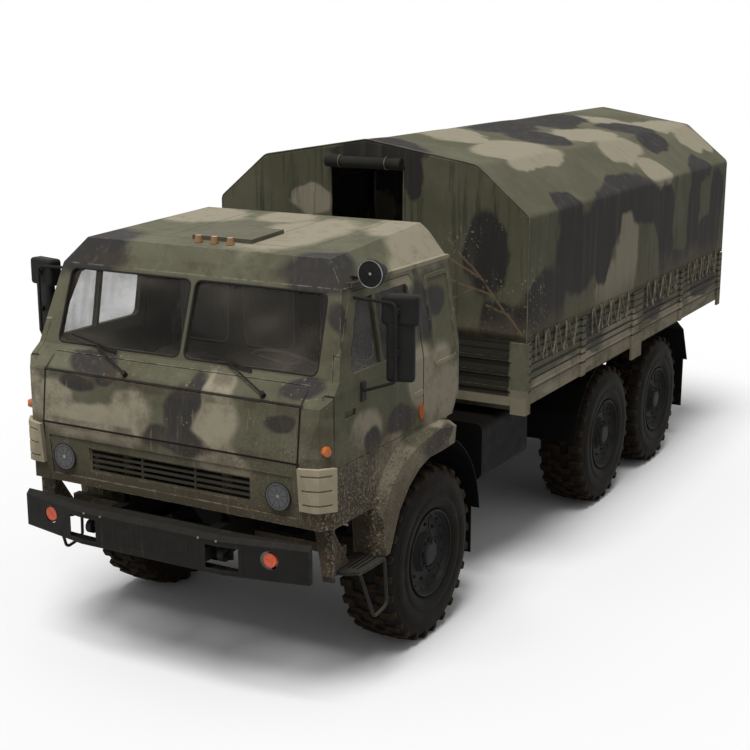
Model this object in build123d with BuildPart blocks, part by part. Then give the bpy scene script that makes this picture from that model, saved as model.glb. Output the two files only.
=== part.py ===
from build123d import *
import os

# Six-wheeled military cargo truck with a tilting cab and a canvas-covered load bed.
# Millimetres. It faces -Y, +X is its left, +Z is up; the origin lies on the ground
# under the middle of the whole truck.

# Layout
overall_length = 7810
front_overhang = 1500            # bumper face ahead of the front axle
wheelbase = 3340                 # front axle to middle axle
bogie_spacing = 1390             # middle axle to rear axle
wheel_track = 2070
front_axle_y = front_overhang - overall_length / 2
middle_axle_y = front_axle_y + wheelbase
rear_axle_y = middle_axle_y + bogie_spacing
bogie_y = (middle_axle_y + rear_axle_y) / 2
rear_end_y = overall_length / 2
fit = 0.3                        # gap where one piece seats on another
panel_gap = 5                    # gap round a moving panel

# Wheels
tyre_diameter = 1220
tyre_width = 410
rim_radius = 300
rim_wall = 12
rim_inset = 18                   # rim edge inside the tyre's face
hub_radius = 130
hub_height = 36                  # hub face beyond the disc
hub_cap_radius = 84
hub_stand_out = -12              # hub cap beyond the tyre's face
disc_offset = 112                # wheel disc outboard of the tyre's middle
disc_thickness = 14
hub_back = 35                    # hub inboard of the disc
drum_radius = 200
drum_depth = 90
drum_gap = 15                    # between drum and hub
spindle_reach = 50               # spindle end outboard of the disc
spindle_end_gap = 5
spindle_radius = 45
spindle_clearance = 0.5
axle_z = tyre_diameter / 2
wheel_x = wheel_track / 2

# Frame
rail_outer_x = 432
rail_flange = 80
rail_bottom_z = 870
rail_top_z = 1070
rail_steel = 8
rail_front_y = front_axle_y - 1375
rail_rear_y = rear_end_y - 90
member_width = 70
member_inset = 20                # cross members sit this far inside the rail's height
member_offsets = (-1325, 1330, 1950, 2680, wheelbase + bogie_spacing / 2, rail_rear_y - front_axle_y - 1020,
                  rail_rear_y - front_axle_y - 80)      # behind the front axle

# Powertrain
engine_size = (640, 1180, 620)
engine_front_y = front_axle_y - 700
engine_bottom_z = 800
gearbox_size = (380, 640, 330)
gearbox_bottom_z = 740
transfer_size = (520, 420, 330)
transfer_front_y = front_axle_y + 1740
transfer_top_z = rail_bottom_z + member_inset - fit
shaft_radius = 38

# Axles and springs
axle_tube_radius = 70
diff_radius = 165
diff_half_depth = 110
diff_nose_radius = 105
diff_nose_length = 230
kingpin_x = 951
steering_ball_radius = 75
axle_neck_radius = 50
axle_neck_length = 130
knuckle_wall = 20
knuckle_gap = 0.8
kingpin_radius = 28
spring_width = 90
front_spring_x = 410
front_spring_half = 750
front_spring_sag = 110
front_spring_depth = 62
rear_spring_x = 525
rear_spring_depth = 95
rear_spring_rise = 70
trunnion_radius = 60

# Bumper
bumper_half = 1116
bumper_flat_half = 550
bumper_sweep = 115
bumper_return = 35               # depth of the swept end
bumper_bevel = 28
bumper_bottom_z = 839
bumper_height = 245
bumper_depth = 120
bumper_steel = 8
fog_lamp_x = 861
fog_lamp_z = 970
fog_hole_radius = 60
fog_lamp_radius = 46
fog_lamp_length = 50
hook_slot_x = (432, 664)
hook_slot_z = (868, 1020)
tow_eye_x = 520
tow_eye_thickness = 40
tow_bore_radius = 20
tow_eye_radius = 45
tow_pin_y = front_axle_y - 1425
tow_pin_z = 945

# Cab
cab_half_width = 1180
cab_wall = 40
cab_bottom_z = 1150
cab_floor_z = 1500               # top of the floor
cab_floor_thickness = 40
face_foot_y = front_axle_y - 1276
face_crease_y = front_axle_y - 1313
face_crease_z = 1558
face_top_y = front_axle_y - 1270
face_top_z = 1904
screen_foot_y = front_axle_y - 1118
screen_foot_z = 2041
screen_top_y = front_axle_y - 941
screen_top_z = 2553
roof_front_y = front_axle_y - 840
roof_front_z = 2729
roof_rear_z = 2795
cab_back_y = front_axle_y + 476
cab_rear_corner_z = 1650
cab_rear_foot_y = front_axle_y + 385
belt_z = 1980
gutter_z = 2565
gutter_x = cab_half_width - 98
roof_edge_x = cab_half_width - 260
roof_edge_z = 2760
corner_start_x = cab_half_width - 184             # where the flat face turns into the corner
corner_side_y = front_axle_y - 1200
corner_bevel = 60
corner_slope = 45
door_front_y = front_axle_y - 1195
door_rear_y = front_axle_y - 50
door_bottom_z = 1520
door_top_z = 2540
door_hinge_x = cab_half_width - 3
door_hinge_z = (1600, 1860)
door_hinge_length = 80
hinge_barrel_radius = panel_gap / 2
cab_pivot_y = front_axle_y - 1190
cab_pivot_z = 1150
cab_arm_x = 392
cab_arm_width = 40
cab_arm_radius = 24
cab_pin_radius = 12
cab_ear_thickness = 14
cab_ear_gap = 6
cab_rest_y = front_axle_y + 330
cab_rest_size = 80
pillar_width = 95                # windscreen pillar, measured along the truck
window_bottom_z = 2060
window_top_z = 2485
window_margin = 75               # door frame beside the window
window_radius = 45
window_bar_y = front_axle_y - 590
window_bar_width = 26
screen_radius = 50
glass_depth = 16                 # glass below the outer skin
glass_thickness = 6
screen_side_x = cab_half_width - 168
screen_divider = 36
screen_margin = 18
handle_middle = (front_axle_y - 1002, 1829)
handle_size = (130, 44)
handle_depth = 14
pull_middle = (front_axle_y - 128, 1757)
pull_size = (120, 30)
pull_thickness = 9
reflector_middle = (front_axle_y - 84, 1625)
reflector_radii = (28, 56)
blank_y = (front_axle_y + 92, front_axle_y + 438)      # blanked window behind the door
blank_z = (1895, 2500)
blank_radius = 45
blank_frame = 24
blank_stand_out = 9
gutter_rail = (16, 26)           # how far it stands out, height
flap_half_width = corner_start_x - 6
flap_hinge_x = (-640, 0, 640)
flap_hinge_length = 120
flap_barrel_radius = 4
flap_hinge_y = face_top_y + 1
flap_hinge_z = face_top_z - fit - flap_barrel_radius
hatch_half_width = 235
hatch_y = (front_axle_y - 635, front_axle_y - 255)
hatch_thickness = 28
hatch_lip = 20                   # the lid laps the roof this far round its opening
hatch_barrel_radius = 7
hatch_barrel_length = 340
firewall_y = front_axle_y - 1200
firewall_thickness = 20
panel_half_width = 958           # shallow panel round the grille and headlamps
panel_z = (1205, 1476)
panel_recess = 10
seam_depth = 8
cowl_seam_z = (2005, 2010)
headlamp_x = 841
headlamp_z = 1333
headlamp_radius = 90
grille_half_width = 635
grille_z = (1253, 1420)
grille_rows = 4
grille_columns = 3
grille_bar = 15
grille_post = 14
grille_thickness = 22
deflector_start_x = corner_start_x + 8
deflector_z = (1272, 1544)
deflector_back_y = door_front_y - 2 * panel_gap
deflector_thickness = 28
deflector_slots = 3
deflector_slot = 13               # height of a slot
deflector_slot_depth = 12
deflector_end = 26               # solid ends beside the slots

# Wheel arches: (behind the front axle, height)
arch_top_line = ((-715, 822), (-740, 1160), (-702, 1224), (-585, 1357), (-448, 1452),
                 (-286, 1492), (-75, 1500), (200, 1500), (345, 1460))
arch_crease_line = ((-686, 822), (-712, 1060), (-690, 1140), (-620, 1255), (-470, 1362),
                    (-297, 1424), (-85, 1464), (75, 1479), (310, 1440))
arch_edge_line = ((292, 1325), (109, 1316), (-82, 1318), (-225, 1281), (-363, 1204),
                  (-499, 1074), (-560, 960), (-590, 895), (-630, 822))
arch_inner_x = 1030
arch_outer_x = 1250

# Steps
step_top_z = 815
step_thickness = 22
step_outline = ((1050, -1025), (1125, -1050), (1240, -985), (1250, -690), (1060, -690), (1000, -850))
bracket_top_half = (1030, 1160)
bracket_foot_half = (1085, 1160)
bracket_y = front_axle_y - 1185
bracket_thickness = 25
step_arm_y = front_axle_y - 930
step_arm_size = 60
hoop_tube_radius = 11
hoop_x = 1262
step_slots = 5
step_slot_pitch = 32
step_slot_width = 15
hoop_bottom_z = 475

# Mudguards
guard_thickness = 6
guard_inner_x = 790
guard_outer_x = 1250
guard_top_z = 1290
front_guard_radius = 800
front_guard_top_z = 1300
front_guard_foot_z = 690
front_guard_outer_x = 1205
flap_thickness = 10
flap_top_z = 760
front_stay_z = 930
flap_bottom_z = 340

# Side boxes
tank_x = (500, 1105)
tank_y = (front_axle_y + 1040, front_axle_y + 1880)
tank_z = (810, 1245)
tank_corner = 60
battery_length = 560
air_tank_radius = 150
air_tank_length = 700

# Load bed
bed_half_width = 1335
bed_front_y = front_axle_y + 1266
bed_rear_y = rear_end_y - 26
bed_floor_z = 1412               # top of the floor
bed_floor_thickness = 62
bearer_height = 110
bearer_width = 80
bearer_count = 8
board_thickness = 40
board_top_z = 1925
gate_gap = 5
gate_hinge_y = bed_rear_y + 14
gate_hinge_z = 1388
gate_eye_radius = 12
gate_pin_radius = 7
gate_hinge_x = (-850, 0, 850)
gate_lug = 16
gate_knuckle = 80
gate_skirt = 36                  # the gate hangs this far below the floor's top

bed_length = bed_rear_y - bed_front_y
first_bearer_y = bed_front_y + 1.5 * bearer_width
last_bearer_y = bed_rear_y - board_thickness - gate_gap - 1.5 * bearer_width

# Side posts: middle behind the bed's front, width, height of the foot
bed_posts = ((40, 70, 1290), (1150, 90, 1352), (2445, 250, 1240), (bed_length - 1318, 70, 1352),
             (bed_length - 48, 100, 1295))
bed_post_depth = 20
corner_post = (125, 14)          # width and depth of the posts on the front board
board_ribs = (1478, 1590, 1702)  # heights of the ledges between planks
board_rib = (10, 26)             # how far they stand out, height

# Canvas
canvas_half_width = 1347
canvas_thickness = 10
canvas_bottom_z = 1840
eave_z = 2772
shoulder_x = 919
shoulder_z = 3123
ridge_z = 3274
front_window_half = 310
front_window_z = (2560, 3050)
rear_opening_half = 1000
rear_opening_top_z = 2900
curtain_radius = 50
bow_size = 30
bow_offsets = (90, 1150, 2445, bed_length - 1318, bed_length - 118)     # behind the bed's front
bench_z = 1830
bench_depth = 340
bench_thickness = 30

pieces = {}


def keep(part, name):
    # Labels a finished piece and keeps it under its node's name.
    part.label = name
    pieces[name] = part


def section_at(y):
    # Plane across the truck at y: its x runs to the truck's left and its y runs up.
    return Plane.XZ.offset(-y)


def mirrored(points):
    # A half outline and its reflection in the truck's middle plane.
    return [*points, *[(-across, other) for across, other in reversed(points)]]


def from_front_axle(points):
    return [(front_axle_y + along, up) for along, up in points]


# Wheels: each is drawn about its own middle, with x running outboard

with BuildPart() as tyre_form:
    half = tyre_width / 2
    outer = tyre_diameter / 2
    with BuildSketch(Plane.XZ) as profile:
        with BuildLine():
            Polyline((-half + 40, rim_radius + fit), (half - 40, rim_radius + fit),
                     (half - 12, rim_radius + 22),
                     (half, rim_radius + 80), (half, outer - 140), (half - 6, outer - 96),
                     (half - 22, outer - 40), (half - 52, outer), (-half + 52, outer), (-half + 22,
                                                                                        outer - 40),
                     (-half + 6, outer - 96), (-half, outer - 140), (-half, rim_radius + 80),
                     (-half + 12, rim_radius + 22), close=True)
        make_face()
    revolve(profile.sketch, axis=Axis.X)

# Well, disc, hub and cap in one turned piece with the brake drum's room inside.
with BuildPart() as rim_form:
    edge = tyre_width / 2 - rim_inset
    inner = rim_radius - rim_wall
    disc_face = disc_offset + disc_thickness
    hub_face = disc_face + hub_height
    cap_end = tyre_width / 2 + hub_stand_out
    bore = spindle_radius + spindle_clearance
    bore_end = disc_offset + spindle_reach + spindle_end_gap
    with BuildSketch(Plane.XZ) as profile:
        with BuildLine():
            Polyline((-edge, rim_radius), (-edge, inner), (disc_offset, inner), (disc_offset, hub_radius),
                     (disc_offset - hub_back, hub_radius), (disc_offset - hub_back, bore), (bore_end, bore),
                     (bore_end, 0), (cap_end, 0), (cap_end, hub_cap_radius - 14), (cap_end - 10,
                                                                                   hub_cap_radius),
                     (hub_face, hub_cap_radius + 4), (hub_face, hub_radius - 12), (disc_face,
                                                                                   hub_radius + 12),
                     (disc_face, inner - 60), (disc_face + 24, inner - 36), (disc_face + 24, inner - 14),
                     (edge - 6, inner), (edge, inner), (edge, rim_radius), close=True)
        make_face()
    revolve(profile.sketch, axis=Axis.X)


def placed_wheel(form, side, axle_y):
    # The form moved to its axle's end, reflected for the right side.
    turned = form if side > 0 else mirror(form, about=Plane.YZ, mode=Mode.PRIVATE)
    return Pos(side * wheel_x, axle_y, axle_z) * turned


wheel_places = (("front_left", 1, front_axle_y), ("front_right", -1, front_axle_y),
                ("middle_left", 1, middle_axle_y), ("middle_right", -1, middle_axle_y),
                ("rear_left", 1, rear_axle_y), ("rear_right", -1, rear_axle_y))
for place, side, axle_y in wheel_places:
    keep(placed_wheel(tyre_form.part, side, axle_y), "tyre_" + place)
    keep(placed_wheel(rim_form.part, side, axle_y), "rim_" + place)

# Frame

rail_height = rail_top_z - rail_bottom_z
rail_middle_z = (rail_top_z + rail_bottom_z) / 2
rail_length = rail_rear_y - rail_front_y
with BuildPart() as frame:
    with BuildSketch(section_at(rail_rear_y)):
        with Locations((rail_outer_x - rail_flange / 2, rail_middle_z)):
            Rectangle(rail_flange, rail_height)
        with Locations((rail_outer_x - rail_flange / 2 - rail_steel, rail_middle_z)):
            Rectangle(rail_flange, rail_height - 2 * rail_steel, mode=Mode.SUBTRACT)
        mirror(about=Plane.YZ)
    extrude(amount=rail_length)
    with Locations(*[(0, front_axle_y + offset, rail_middle_z) for offset in member_offsets]):
        Box(2 * (rail_outer_x - rail_steel), member_width, rail_height - 2 * member_inset)
    # Ears for the cab's tilting pins on the rails, and the two rests under the cab's rear.
    for side in (-1, 1):
        for ear_side in (-1, 1):
            ear_x = side * cab_arm_x + ear_side * (cab_arm_width / 2 + cab_ear_gap + cab_ear_thickness / 2)
            with BuildSketch(Plane.YZ.offset(ear_x - cab_ear_thickness / 2)):
                with Locations((cab_pivot_y, (rail_top_z + cab_pivot_z) / 2)):
                    Rectangle(2 * cab_arm_radius, cab_pivot_z - rail_top_z)
                with Locations((cab_pivot_y, cab_pivot_z)):
                    Circle(cab_arm_radius)
                    Circle(cab_pin_radius + fit, mode=Mode.SUBTRACT)
            extrude(amount=cab_ear_thickness)
        with Locations((side * (rail_outer_x - rail_flange / 2), cab_rest_y, rail_top_z)):
            Box(rail_flange, cab_rest_size, cab_floor_z - cab_floor_thickness - fit - rail_top_z,
                align=(Align.CENTER, Align.CENTER, Align.MIN))
keep(frame.part, "frame")

# Powertrain: engine block, gearbox, transfer case and shafts

gearbox_front_y = engine_front_y + engine_size[1]
shaft_z = axle_z
shaft_runs = ((front_axle_y + diff_nose_length + fit, transfer_front_y),
              (transfer_front_y + transfer_size[1], middle_axle_y - diff_nose_length - fit))
with BuildPart() as powertrain:
    with Locations((0, engine_front_y, engine_bottom_z)):
        Box(*engine_size, align=(Align.CENTER, Align.MIN, Align.MIN))
    chamfer(powertrain.edges().filter_by(Axis.Y).group_by(Axis.Z)[0], 160)
    with Locations((0, gearbox_front_y, gearbox_bottom_z)):
        Box(*gearbox_size, align=(Align.CENTER, Align.MIN, Align.MIN))
    with Locations((0, transfer_front_y, transfer_top_z)):
        Box(*transfer_size, align=(Align.CENTER, Align.MIN, Align.MAX))
    with BuildSketch(section_at(gearbox_front_y + gearbox_size[1])):
        with Locations((0, transfer_top_z - 2 * shaft_radius)):
            Circle(shaft_radius)
    extrude(amount=gearbox_front_y + gearbox_size[1] - transfer_front_y)
    for start_y, end_y in shaft_runs:
        with BuildSketch(section_at(start_y)):
            with Locations((0, shaft_z)):
                Circle(shaft_radius)
        extrude(amount=start_y - end_y)
keep(powertrain.part, "powertrain")

# Axles

def axle_housing(axle_y, tube_half, nose_sides):
    with BuildPart() as housing:
        with BuildSketch(Plane.YZ.offset(-tube_half)):
            with Locations((axle_y, axle_z)):
                Circle(axle_tube_radius)
        extrude(amount=2 * tube_half)
        with BuildSketch(Plane.YZ) as bowl:
            with BuildLine():
                Polyline((axle_y - diff_half_depth, axle_z),
                         (axle_y - diff_half_depth, axle_z + diff_radius - 60),
                         (axle_y - 50, axle_z + diff_radius), (axle_y + 50, axle_z + diff_radius),
                         (axle_y + diff_half_depth, axle_z + diff_radius - 60), (axle_y + diff_half_depth,
                                                                                 axle_z),
                         close=True)
            make_face()
        revolve(bowl.sketch, axis=Axis((0, axle_y, axle_z), (0, 1, 0)))
        for nose_side in nose_sides:
            with BuildSketch(section_at(axle_y)):
                with Locations((0, axle_z)):
                    Circle(diff_nose_radius)
            extrude(amount=-nose_side * diff_nose_length)
    return housing.part


front_spring_seat_z = axle_z + axle_tube_radius + 40
spindle_end_x = wheel_x + disc_offset + spindle_reach
with BuildPart() as front_axle:
    add(axle_housing(front_axle_y, kingpin_x - axle_neck_length, (1,)))
    with Locations(*[(side * kingpin_x, front_axle_y, axle_z) for side in (-1, 1)]):
        Sphere(steering_ball_radius)
    with BuildSketch(Plane.YZ.offset(-kingpin_x)):
        with Locations((front_axle_y, axle_z)):
            Circle(axle_neck_radius)
    extrude(amount=2 * kingpin_x)
    with Locations(*[(side * front_spring_x, front_axle_y, axle_z) for side in (-1, 1)]):
        Box(spring_width, 160, front_spring_seat_z - axle_z, align=(Align.CENTER, Align.CENTER, Align.MIN))
keep(front_axle.part, "front_axle")

drum_inner_x = wheel_x + disc_offset - hub_back - drum_gap - drum_depth
rear_spring_foot_z = axle_z + axle_tube_radius + 20
with BuildPart() as bogie_axles:
    for axle_y, noses in ((middle_axle_y, (-1, 1)), (rear_axle_y, (-1,))):
        add(axle_housing(axle_y, drum_inner_x, noses))
        with Locations(*[(side * rear_spring_x, axle_y, axle_z) for side in (-1, 1)]):
            Box(spring_width + 20, 120, rear_spring_foot_z - axle_z,
                align=(Align.CENTER, Align.CENTER, Align.MIN))
        for side in (-1, 1):
            with BuildSketch(Plane.YZ.offset(side * drum_inner_x)):
                with Locations((axle_y, axle_z)):
                    Circle(drum_radius)
            extrude(amount=side * drum_depth)
            with BuildSketch(Plane.YZ.offset(side * drum_inner_x)):
                with Locations((axle_y, axle_z)):
                    Circle(spindle_radius)
            extrude(amount=side * (spindle_end_x - drum_inner_x))
    with BuildSketch(section_at(middle_axle_y + diff_nose_length - fit)):
        with Locations((0, axle_z)):
            Circle(shaft_radius)
    extrude(amount=-(bogie_spacing - 2 * diff_nose_length + 2 * fit))
keep(bogie_axles.part, "bogie_axles")

# Steering knuckles: a half shell round the axle's ball, kingpin bosses and the spindle
knuckle_inner = steering_ball_radius + knuckle_gap
knuckle_outer = knuckle_inner + knuckle_wall


with BuildPart() as knuckle_left:
    with Locations((kingpin_x, front_axle_y, axle_z)):
        Sphere(knuckle_outer)
    split(bisect_by=Plane.YZ.offset(kingpin_x), keep=Keep.TOP)
    with BuildSketch(Plane.XY.offset(axle_z - knuckle_outer - 15)):
        with Locations((kingpin_x, front_axle_y)):
            Circle(kingpin_radius)
    extrude(amount=2 * (knuckle_outer + 15))
    with Locations((kingpin_x, front_axle_y, axle_z)):
        Sphere(knuckle_inner, mode=Mode.SUBTRACT)
    with BuildSketch(Plane.YZ.offset(kingpin_x + knuckle_inner + 2)):
        with Locations((front_axle_y, axle_z)):
            Circle(spindle_radius)
    extrude(amount=spindle_end_x - kingpin_x - knuckle_inner - 2)
keep(knuckle_left.part, "knuckle_left")

with BuildPart() as knuckle_right:
    add(knuckle_left.part)
    mirror(about=Plane.YZ, mode=Mode.REPLACE)
keep(knuckle_right.part, "knuckle_right")

# Leaf springs

def leaf_pack(middle_x, middle_y, middle_z, half_span, rise, depth, width):
    # A pack with parallel faces that bends by rise from its middle to its ends.
    low = ((middle_y - half_span, middle_z + rise), (middle_y, middle_z),
           (middle_y + half_span, middle_z + rise))
    high = [(along, up + depth) for along, up in reversed(low)]
    with BuildPart() as pack:
        with BuildSketch(Plane.YZ.offset(middle_x - width / 2)):
            with BuildLine():
                ThreePointArc(*low)
                Line(low[2], high[0])
                ThreePointArc(*high)
                Line(high[2], low[0])
            make_face()
        extrude(amount=width)
    return pack.part


with BuildPart() as leaf_springs:
    for side in (-1, 1):
        add(leaf_pack(side * front_spring_x, front_axle_y, front_spring_seat_z + fit,
                      front_spring_half, front_spring_sag * 0.7, front_spring_depth, spring_width))
        with Locations(*[(side * front_spring_x, front_axle_y + end * front_spring_half,
                          rail_bottom_z - fit)
                         for end in (-1, 1)]):
            Box(spring_width, 70, rail_bottom_z - front_spring_seat_z - front_spring_sag * 0.7,
                align=(Align.CENTER, Align.CENTER, Align.MAX))
        add(leaf_pack(side * rear_spring_x, bogie_y, rear_spring_foot_z + fit + rear_spring_rise,
                      bogie_spacing / 2 + 40, -rear_spring_rise, rear_spring_depth, spring_width))
keep(leaf_springs.part, "leaf_springs")

trunnion_z = rear_spring_foot_z + rear_spring_rise - trunnion_radius - fit
with BuildPart() as trunnion:
    with BuildSketch(Plane.YZ.offset(-rear_spring_x - spring_width / 2)):
        with Locations((bogie_y, trunnion_z)):
            Circle(trunnion_radius)
    extrude(amount=2 * rear_spring_x + spring_width)
    for side in (-1, 1):
        with BuildSketch(Plane.YZ.offset(side * (rail_outer_x + fit))):
            with BuildLine():
                Polyline((bogie_y - 240, rail_top_z - 60), (bogie_y - 240, rail_bottom_z),
                         (bogie_y - 80, trunnion_z - 70), (bogie_y + 80, trunnion_z - 70),
                         (bogie_y + 240, rail_bottom_z), (bogie_y + 240, rail_top_z - 60), close=True)
            make_face()
        extrude(amount=side * 25)
keep(trunnion.part, "trunnion")

# Front bumper

bumper_face_y = front_axle_y - front_overhang
bumper_end_y = bumper_face_y + bumper_sweep + bumper_return


def bumper_block(inset, reach):
    # The bumper's outer form with its bevelled upper edge, moved inwards by inset.
    outline = mirrored(((bumper_flat_half, bumper_face_y + bumper_depth + reach),
                        (bumper_half - inset, bumper_end_y + reach),
                        (bumper_half - inset, bumper_face_y + bumper_sweep + inset),
                        (bumper_flat_half, bumper_face_y + inset)))
    with BuildPart() as block:
        with BuildSketch(Plane.XY.offset(bumper_bottom_z + inset)):
            with BuildLine():
                Polyline(*outline, close=True)
            make_face()
        extrude(amount=bumper_height - 2 * inset)
        upper_edges = block.edges().group_by(Axis.Z)[-1]
        chamfer([edge for edge in upper_edges if edge.center().Y < bumper_face_y + bumper_sweep * 3 / 4],
                bumper_bevel - inset / 2)
    return block.part


with BuildPart() as front_bumper:
    add(bumper_block(0, 0))
    add(bumper_block(bumper_steel, bumper_depth), mode=Mode.SUBTRACT)
    with BuildSketch(section_at(bumper_face_y + bumper_depth / 2 + bumper_sweep / 2)):
        with Locations((-fog_lamp_x, fog_lamp_z), (fog_lamp_x, fog_lamp_z)):
            Circle(fog_hole_radius)
        for side in (-1, 1):
            with Locations((side * sum(hook_slot_x) / 2, sum(hook_slot_z) / 2)):
                Rectangle(hook_slot_x[1] - hook_slot_x[0], hook_slot_z[1] - hook_slot_z[0])
    extrude(amount=overall_length, mode=Mode.SUBTRACT)
keep(front_bumper.part, "front_bumper")

# Tow hooks: an eye ahead of each front rail end, a hook at the rear

tow_back_y = rail_front_y - fit
tow_plate = 20
with BuildPart() as tow_hooks:
    for side in (-1, 1):
        with BuildSketch(section_at(tow_back_y)):
            with Locations((side * (rail_outer_x - rail_flange + tow_eye_x + tow_eye_thickness) / 2,
                            tow_pin_z)):
                Rectangle(tow_eye_x + tow_eye_thickness - rail_outer_x + rail_flange, 2 * tow_eye_radius)
        extrude(amount=tow_plate)
        with Locations((side * (rail_outer_x - rail_flange / 2), tow_back_y, tow_pin_z)):
            Box(rail_flange, tow_back_y - bumper_face_y - bumper_steel - fit, 2 * tow_eye_radius,
                align=(Align.CENTER, Align.MAX, Align.CENTER))
        with BuildSketch(Plane.YZ.offset(side * (tow_eye_x - tow_eye_thickness / 2))):
            with Locations((tow_pin_y, tow_pin_z)):
                Circle(tow_eye_radius)
            with Locations(((tow_pin_y + tow_back_y) / 2, tow_pin_z)):
                Rectangle(tow_back_y - tow_pin_y, 2 * tow_eye_radius)
            with Locations((tow_pin_y, tow_pin_z)):
                Circle(tow_bore_radius, mode=Mode.SUBTRACT)
        extrude(amount=side * tow_eye_thickness)
    hook_z = rail_middle_z
    hook_root_y = front_axle_y + member_offsets[-1] + member_width / 2 + fit
    with Locations((0, hook_root_y, hook_z)):
        Box(220, 20, 160, align=(Align.CENTER, Align.MIN, Align.CENTER))
    with BuildSketch(Plane.YZ.offset(-25)):
        with BuildLine():
            Polyline((hook_root_y, hook_z - 55), (hook_root_y + 60, hook_z - 80),
                     (rear_end_y - 20, hook_z - 80),
                     (rear_end_y, hook_z - 50), (rear_end_y, hook_z + 40), (rear_end_y - 28, hook_z + 40),
                     (rear_end_y - 40, hook_z - 25), (rear_end_y - 95, hook_z - 25),
                     (rear_end_y - 95, hook_z + 50), (hook_root_y, hook_z + 50), close=True)
        make_face()
    extrude(amount=50)
keep(tow_hooks.part, "tow_hooks")

# Chassis lamps: fog lamps in the bumper and lamps under the bed's rear

fog_slope = bumper_sweep / (bumper_half - bumper_flat_half)
fog_face_y = bumper_face_y + (fog_lamp_x - bumper_flat_half) * fog_slope
tail_lamp_size = (240, 60, 110)
tail_lamp_x = 900
tail_lamp_z = 1270
with BuildPart() as chassis_lamps:
    for side in (-1, 1):
        with BuildSketch(section_at(fog_face_y + fog_lamp_length + bumper_steel)):
            with Locations((side * fog_lamp_x, fog_lamp_z)):
                Circle(fog_lamp_radius)
        extrude(amount=fog_lamp_length)
        with Locations((side * fog_lamp_x, fog_face_y + fog_lamp_length + bumper_steel,
                        bumper_bottom_z + bumper_height / 2)):
            Box(30, 40, bumper_height - 2 * bumper_steel - 2 * fit,
                align=(Align.CENTER, Align.MIN, Align.CENTER))
        with Locations((side * tail_lamp_x, last_bearer_y + bearer_width / 2 + fit, tail_lamp_z)):
            Box(*tail_lamp_size, align=(Align.CENTER, Align.MIN, Align.CENTER))
keep(chassis_lamps.part, "chassis_lamps")

# Fuel tank, battery box and air tanks

tank_width = tank_x[1] - tank_x[0]
tank_middle_x = sum(tank_x) / 2
tank_height = tank_z[1] - tank_z[0]
with BuildPart() as fuel_tank:
    with BuildSketch(section_at(tank_y[1])):
        with Locations((tank_middle_x, sum(tank_z) / 2)):
            RectangleRounded(tank_width, tank_height, tank_corner)
    extrude(amount=tank_y[1] - tank_y[0])
    for strap_y in (tank_y[0] + 150, tank_y[1] - 150):
        with Locations((rail_outer_x + fit, strap_y, tank_z[0] + 80)):
            Box(tank_x[0] - rail_outer_x + 60, 60, 200, align=(Align.MIN, Align.CENTER, Align.MIN))
keep(fuel_tank.part, "fuel_tank")

with BuildPart() as battery_box:
    with Locations((-tank_middle_x, tank_y[0], tank_z[0])):
        Box(tank_width, battery_length, tank_height, align=(Align.CENTER, Align.MIN, Align.MIN))
    chamfer(battery_box.edges().filter_by(Axis.Y), 20)
    for row in range(2):
        with BuildSketch(section_at(tank_y[0] + battery_length)):
            with Locations((-tank_x[0] - air_tank_radius - row * (2 * air_tank_radius - 1),
                            tank_z[0] + tank_height / 2)):
                Circle(air_tank_radius)
        extrude(amount=-air_tank_length)
    with Locations((-rail_outer_x - fit, tank_y[0] + battery_length / 2, tank_z[0] + 80)):
        Box(tank_x[0] - rail_outer_x + 60, 300, 200, align=(Align.MAX, Align.CENTER, Align.MIN))
keep(battery_box.part, "battery_box")

# Mudguards

with BuildPart() as mudguards:
    # Curved guard behind each front wheel, carried by a stay from the rail.
    front_centre = (front_axle_y, axle_z)
    with BuildSketch(Plane.YZ.offset(guard_inner_x)):
        with Locations(front_centre):
            Circle(front_guard_radius + guard_thickness)
            Circle(front_guard_radius, mode=Mode.SUBTRACT)
        with Locations((front_axle_y + front_guard_radius, (front_guard_top_z + front_guard_foot_z) / 2)):
            Rectangle(front_guard_radius, front_guard_top_z - front_guard_foot_z, mode=Mode.INTERSECT)
    extrude(amount=front_guard_outer_x - guard_inner_x)
    with Locations((guard_inner_x, front_axle_y + front_guard_radius - 12, flap_top_z)):
        Box(front_guard_outer_x - guard_inner_x - 60, flap_thickness, flap_top_z - flap_bottom_z,
            align=(Align.MIN, Align.CENTER, Align.MAX))
    stay_y = front_axle_y + (front_guard_radius ** 2 - (front_stay_z - axle_z) ** 2) ** 0.5
    with Locations((rail_outer_x + fit, stay_y + 20, front_stay_z)):
        Box(front_guard_outer_x - rail_outer_x - 120, 50, 40, align=(Align.MIN, Align.CENTER, Align.CENTER))
    # One long guard over both bogie wheels.
    lead_y = middle_axle_y
    tail_y = rear_axle_y
    bend = guard_top_z - 120
    guard_line = ((lead_y - 800, 735), (lead_y - 740, 960), (lead_y - 560, bend),
                  (lead_y - 330, guard_top_z),
                  (tail_y + 480, guard_top_z), (tail_y + 700, bend), (tail_y + 870, 830))
    with BuildSketch(Plane.YZ.offset(guard_inner_x)):
        with BuildLine():
            Polyline(*guard_line, *[(along, up - guard_thickness) for along, up in reversed(guard_line)],
                     close=True)
        make_face()
    extrude(amount=guard_outer_x - guard_inner_x)
    with Locations((guard_inner_x, tail_y + 868, 840)):
        Box(guard_outer_x - guard_inner_x - 40, flap_thickness, 840 - flap_bottom_z,
            align=(Align.MIN, Align.CENTER, Align.MAX))
    with Locations(*[(rail_outer_x + fit, stay_y, guard_top_z) for stay_y in (lead_y - 250, tail_y + 250)]):
        Box(guard_outer_x - rail_outer_x - 60, 50, 40, align=(Align.MIN, Align.CENTER, Align.MIN))
    mirror(about=Plane.YZ)
keep(mudguards.part, "mudguards")

# Steps: a grating on a bracket ahead of each front wheel, with a tube hoop below it

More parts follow.
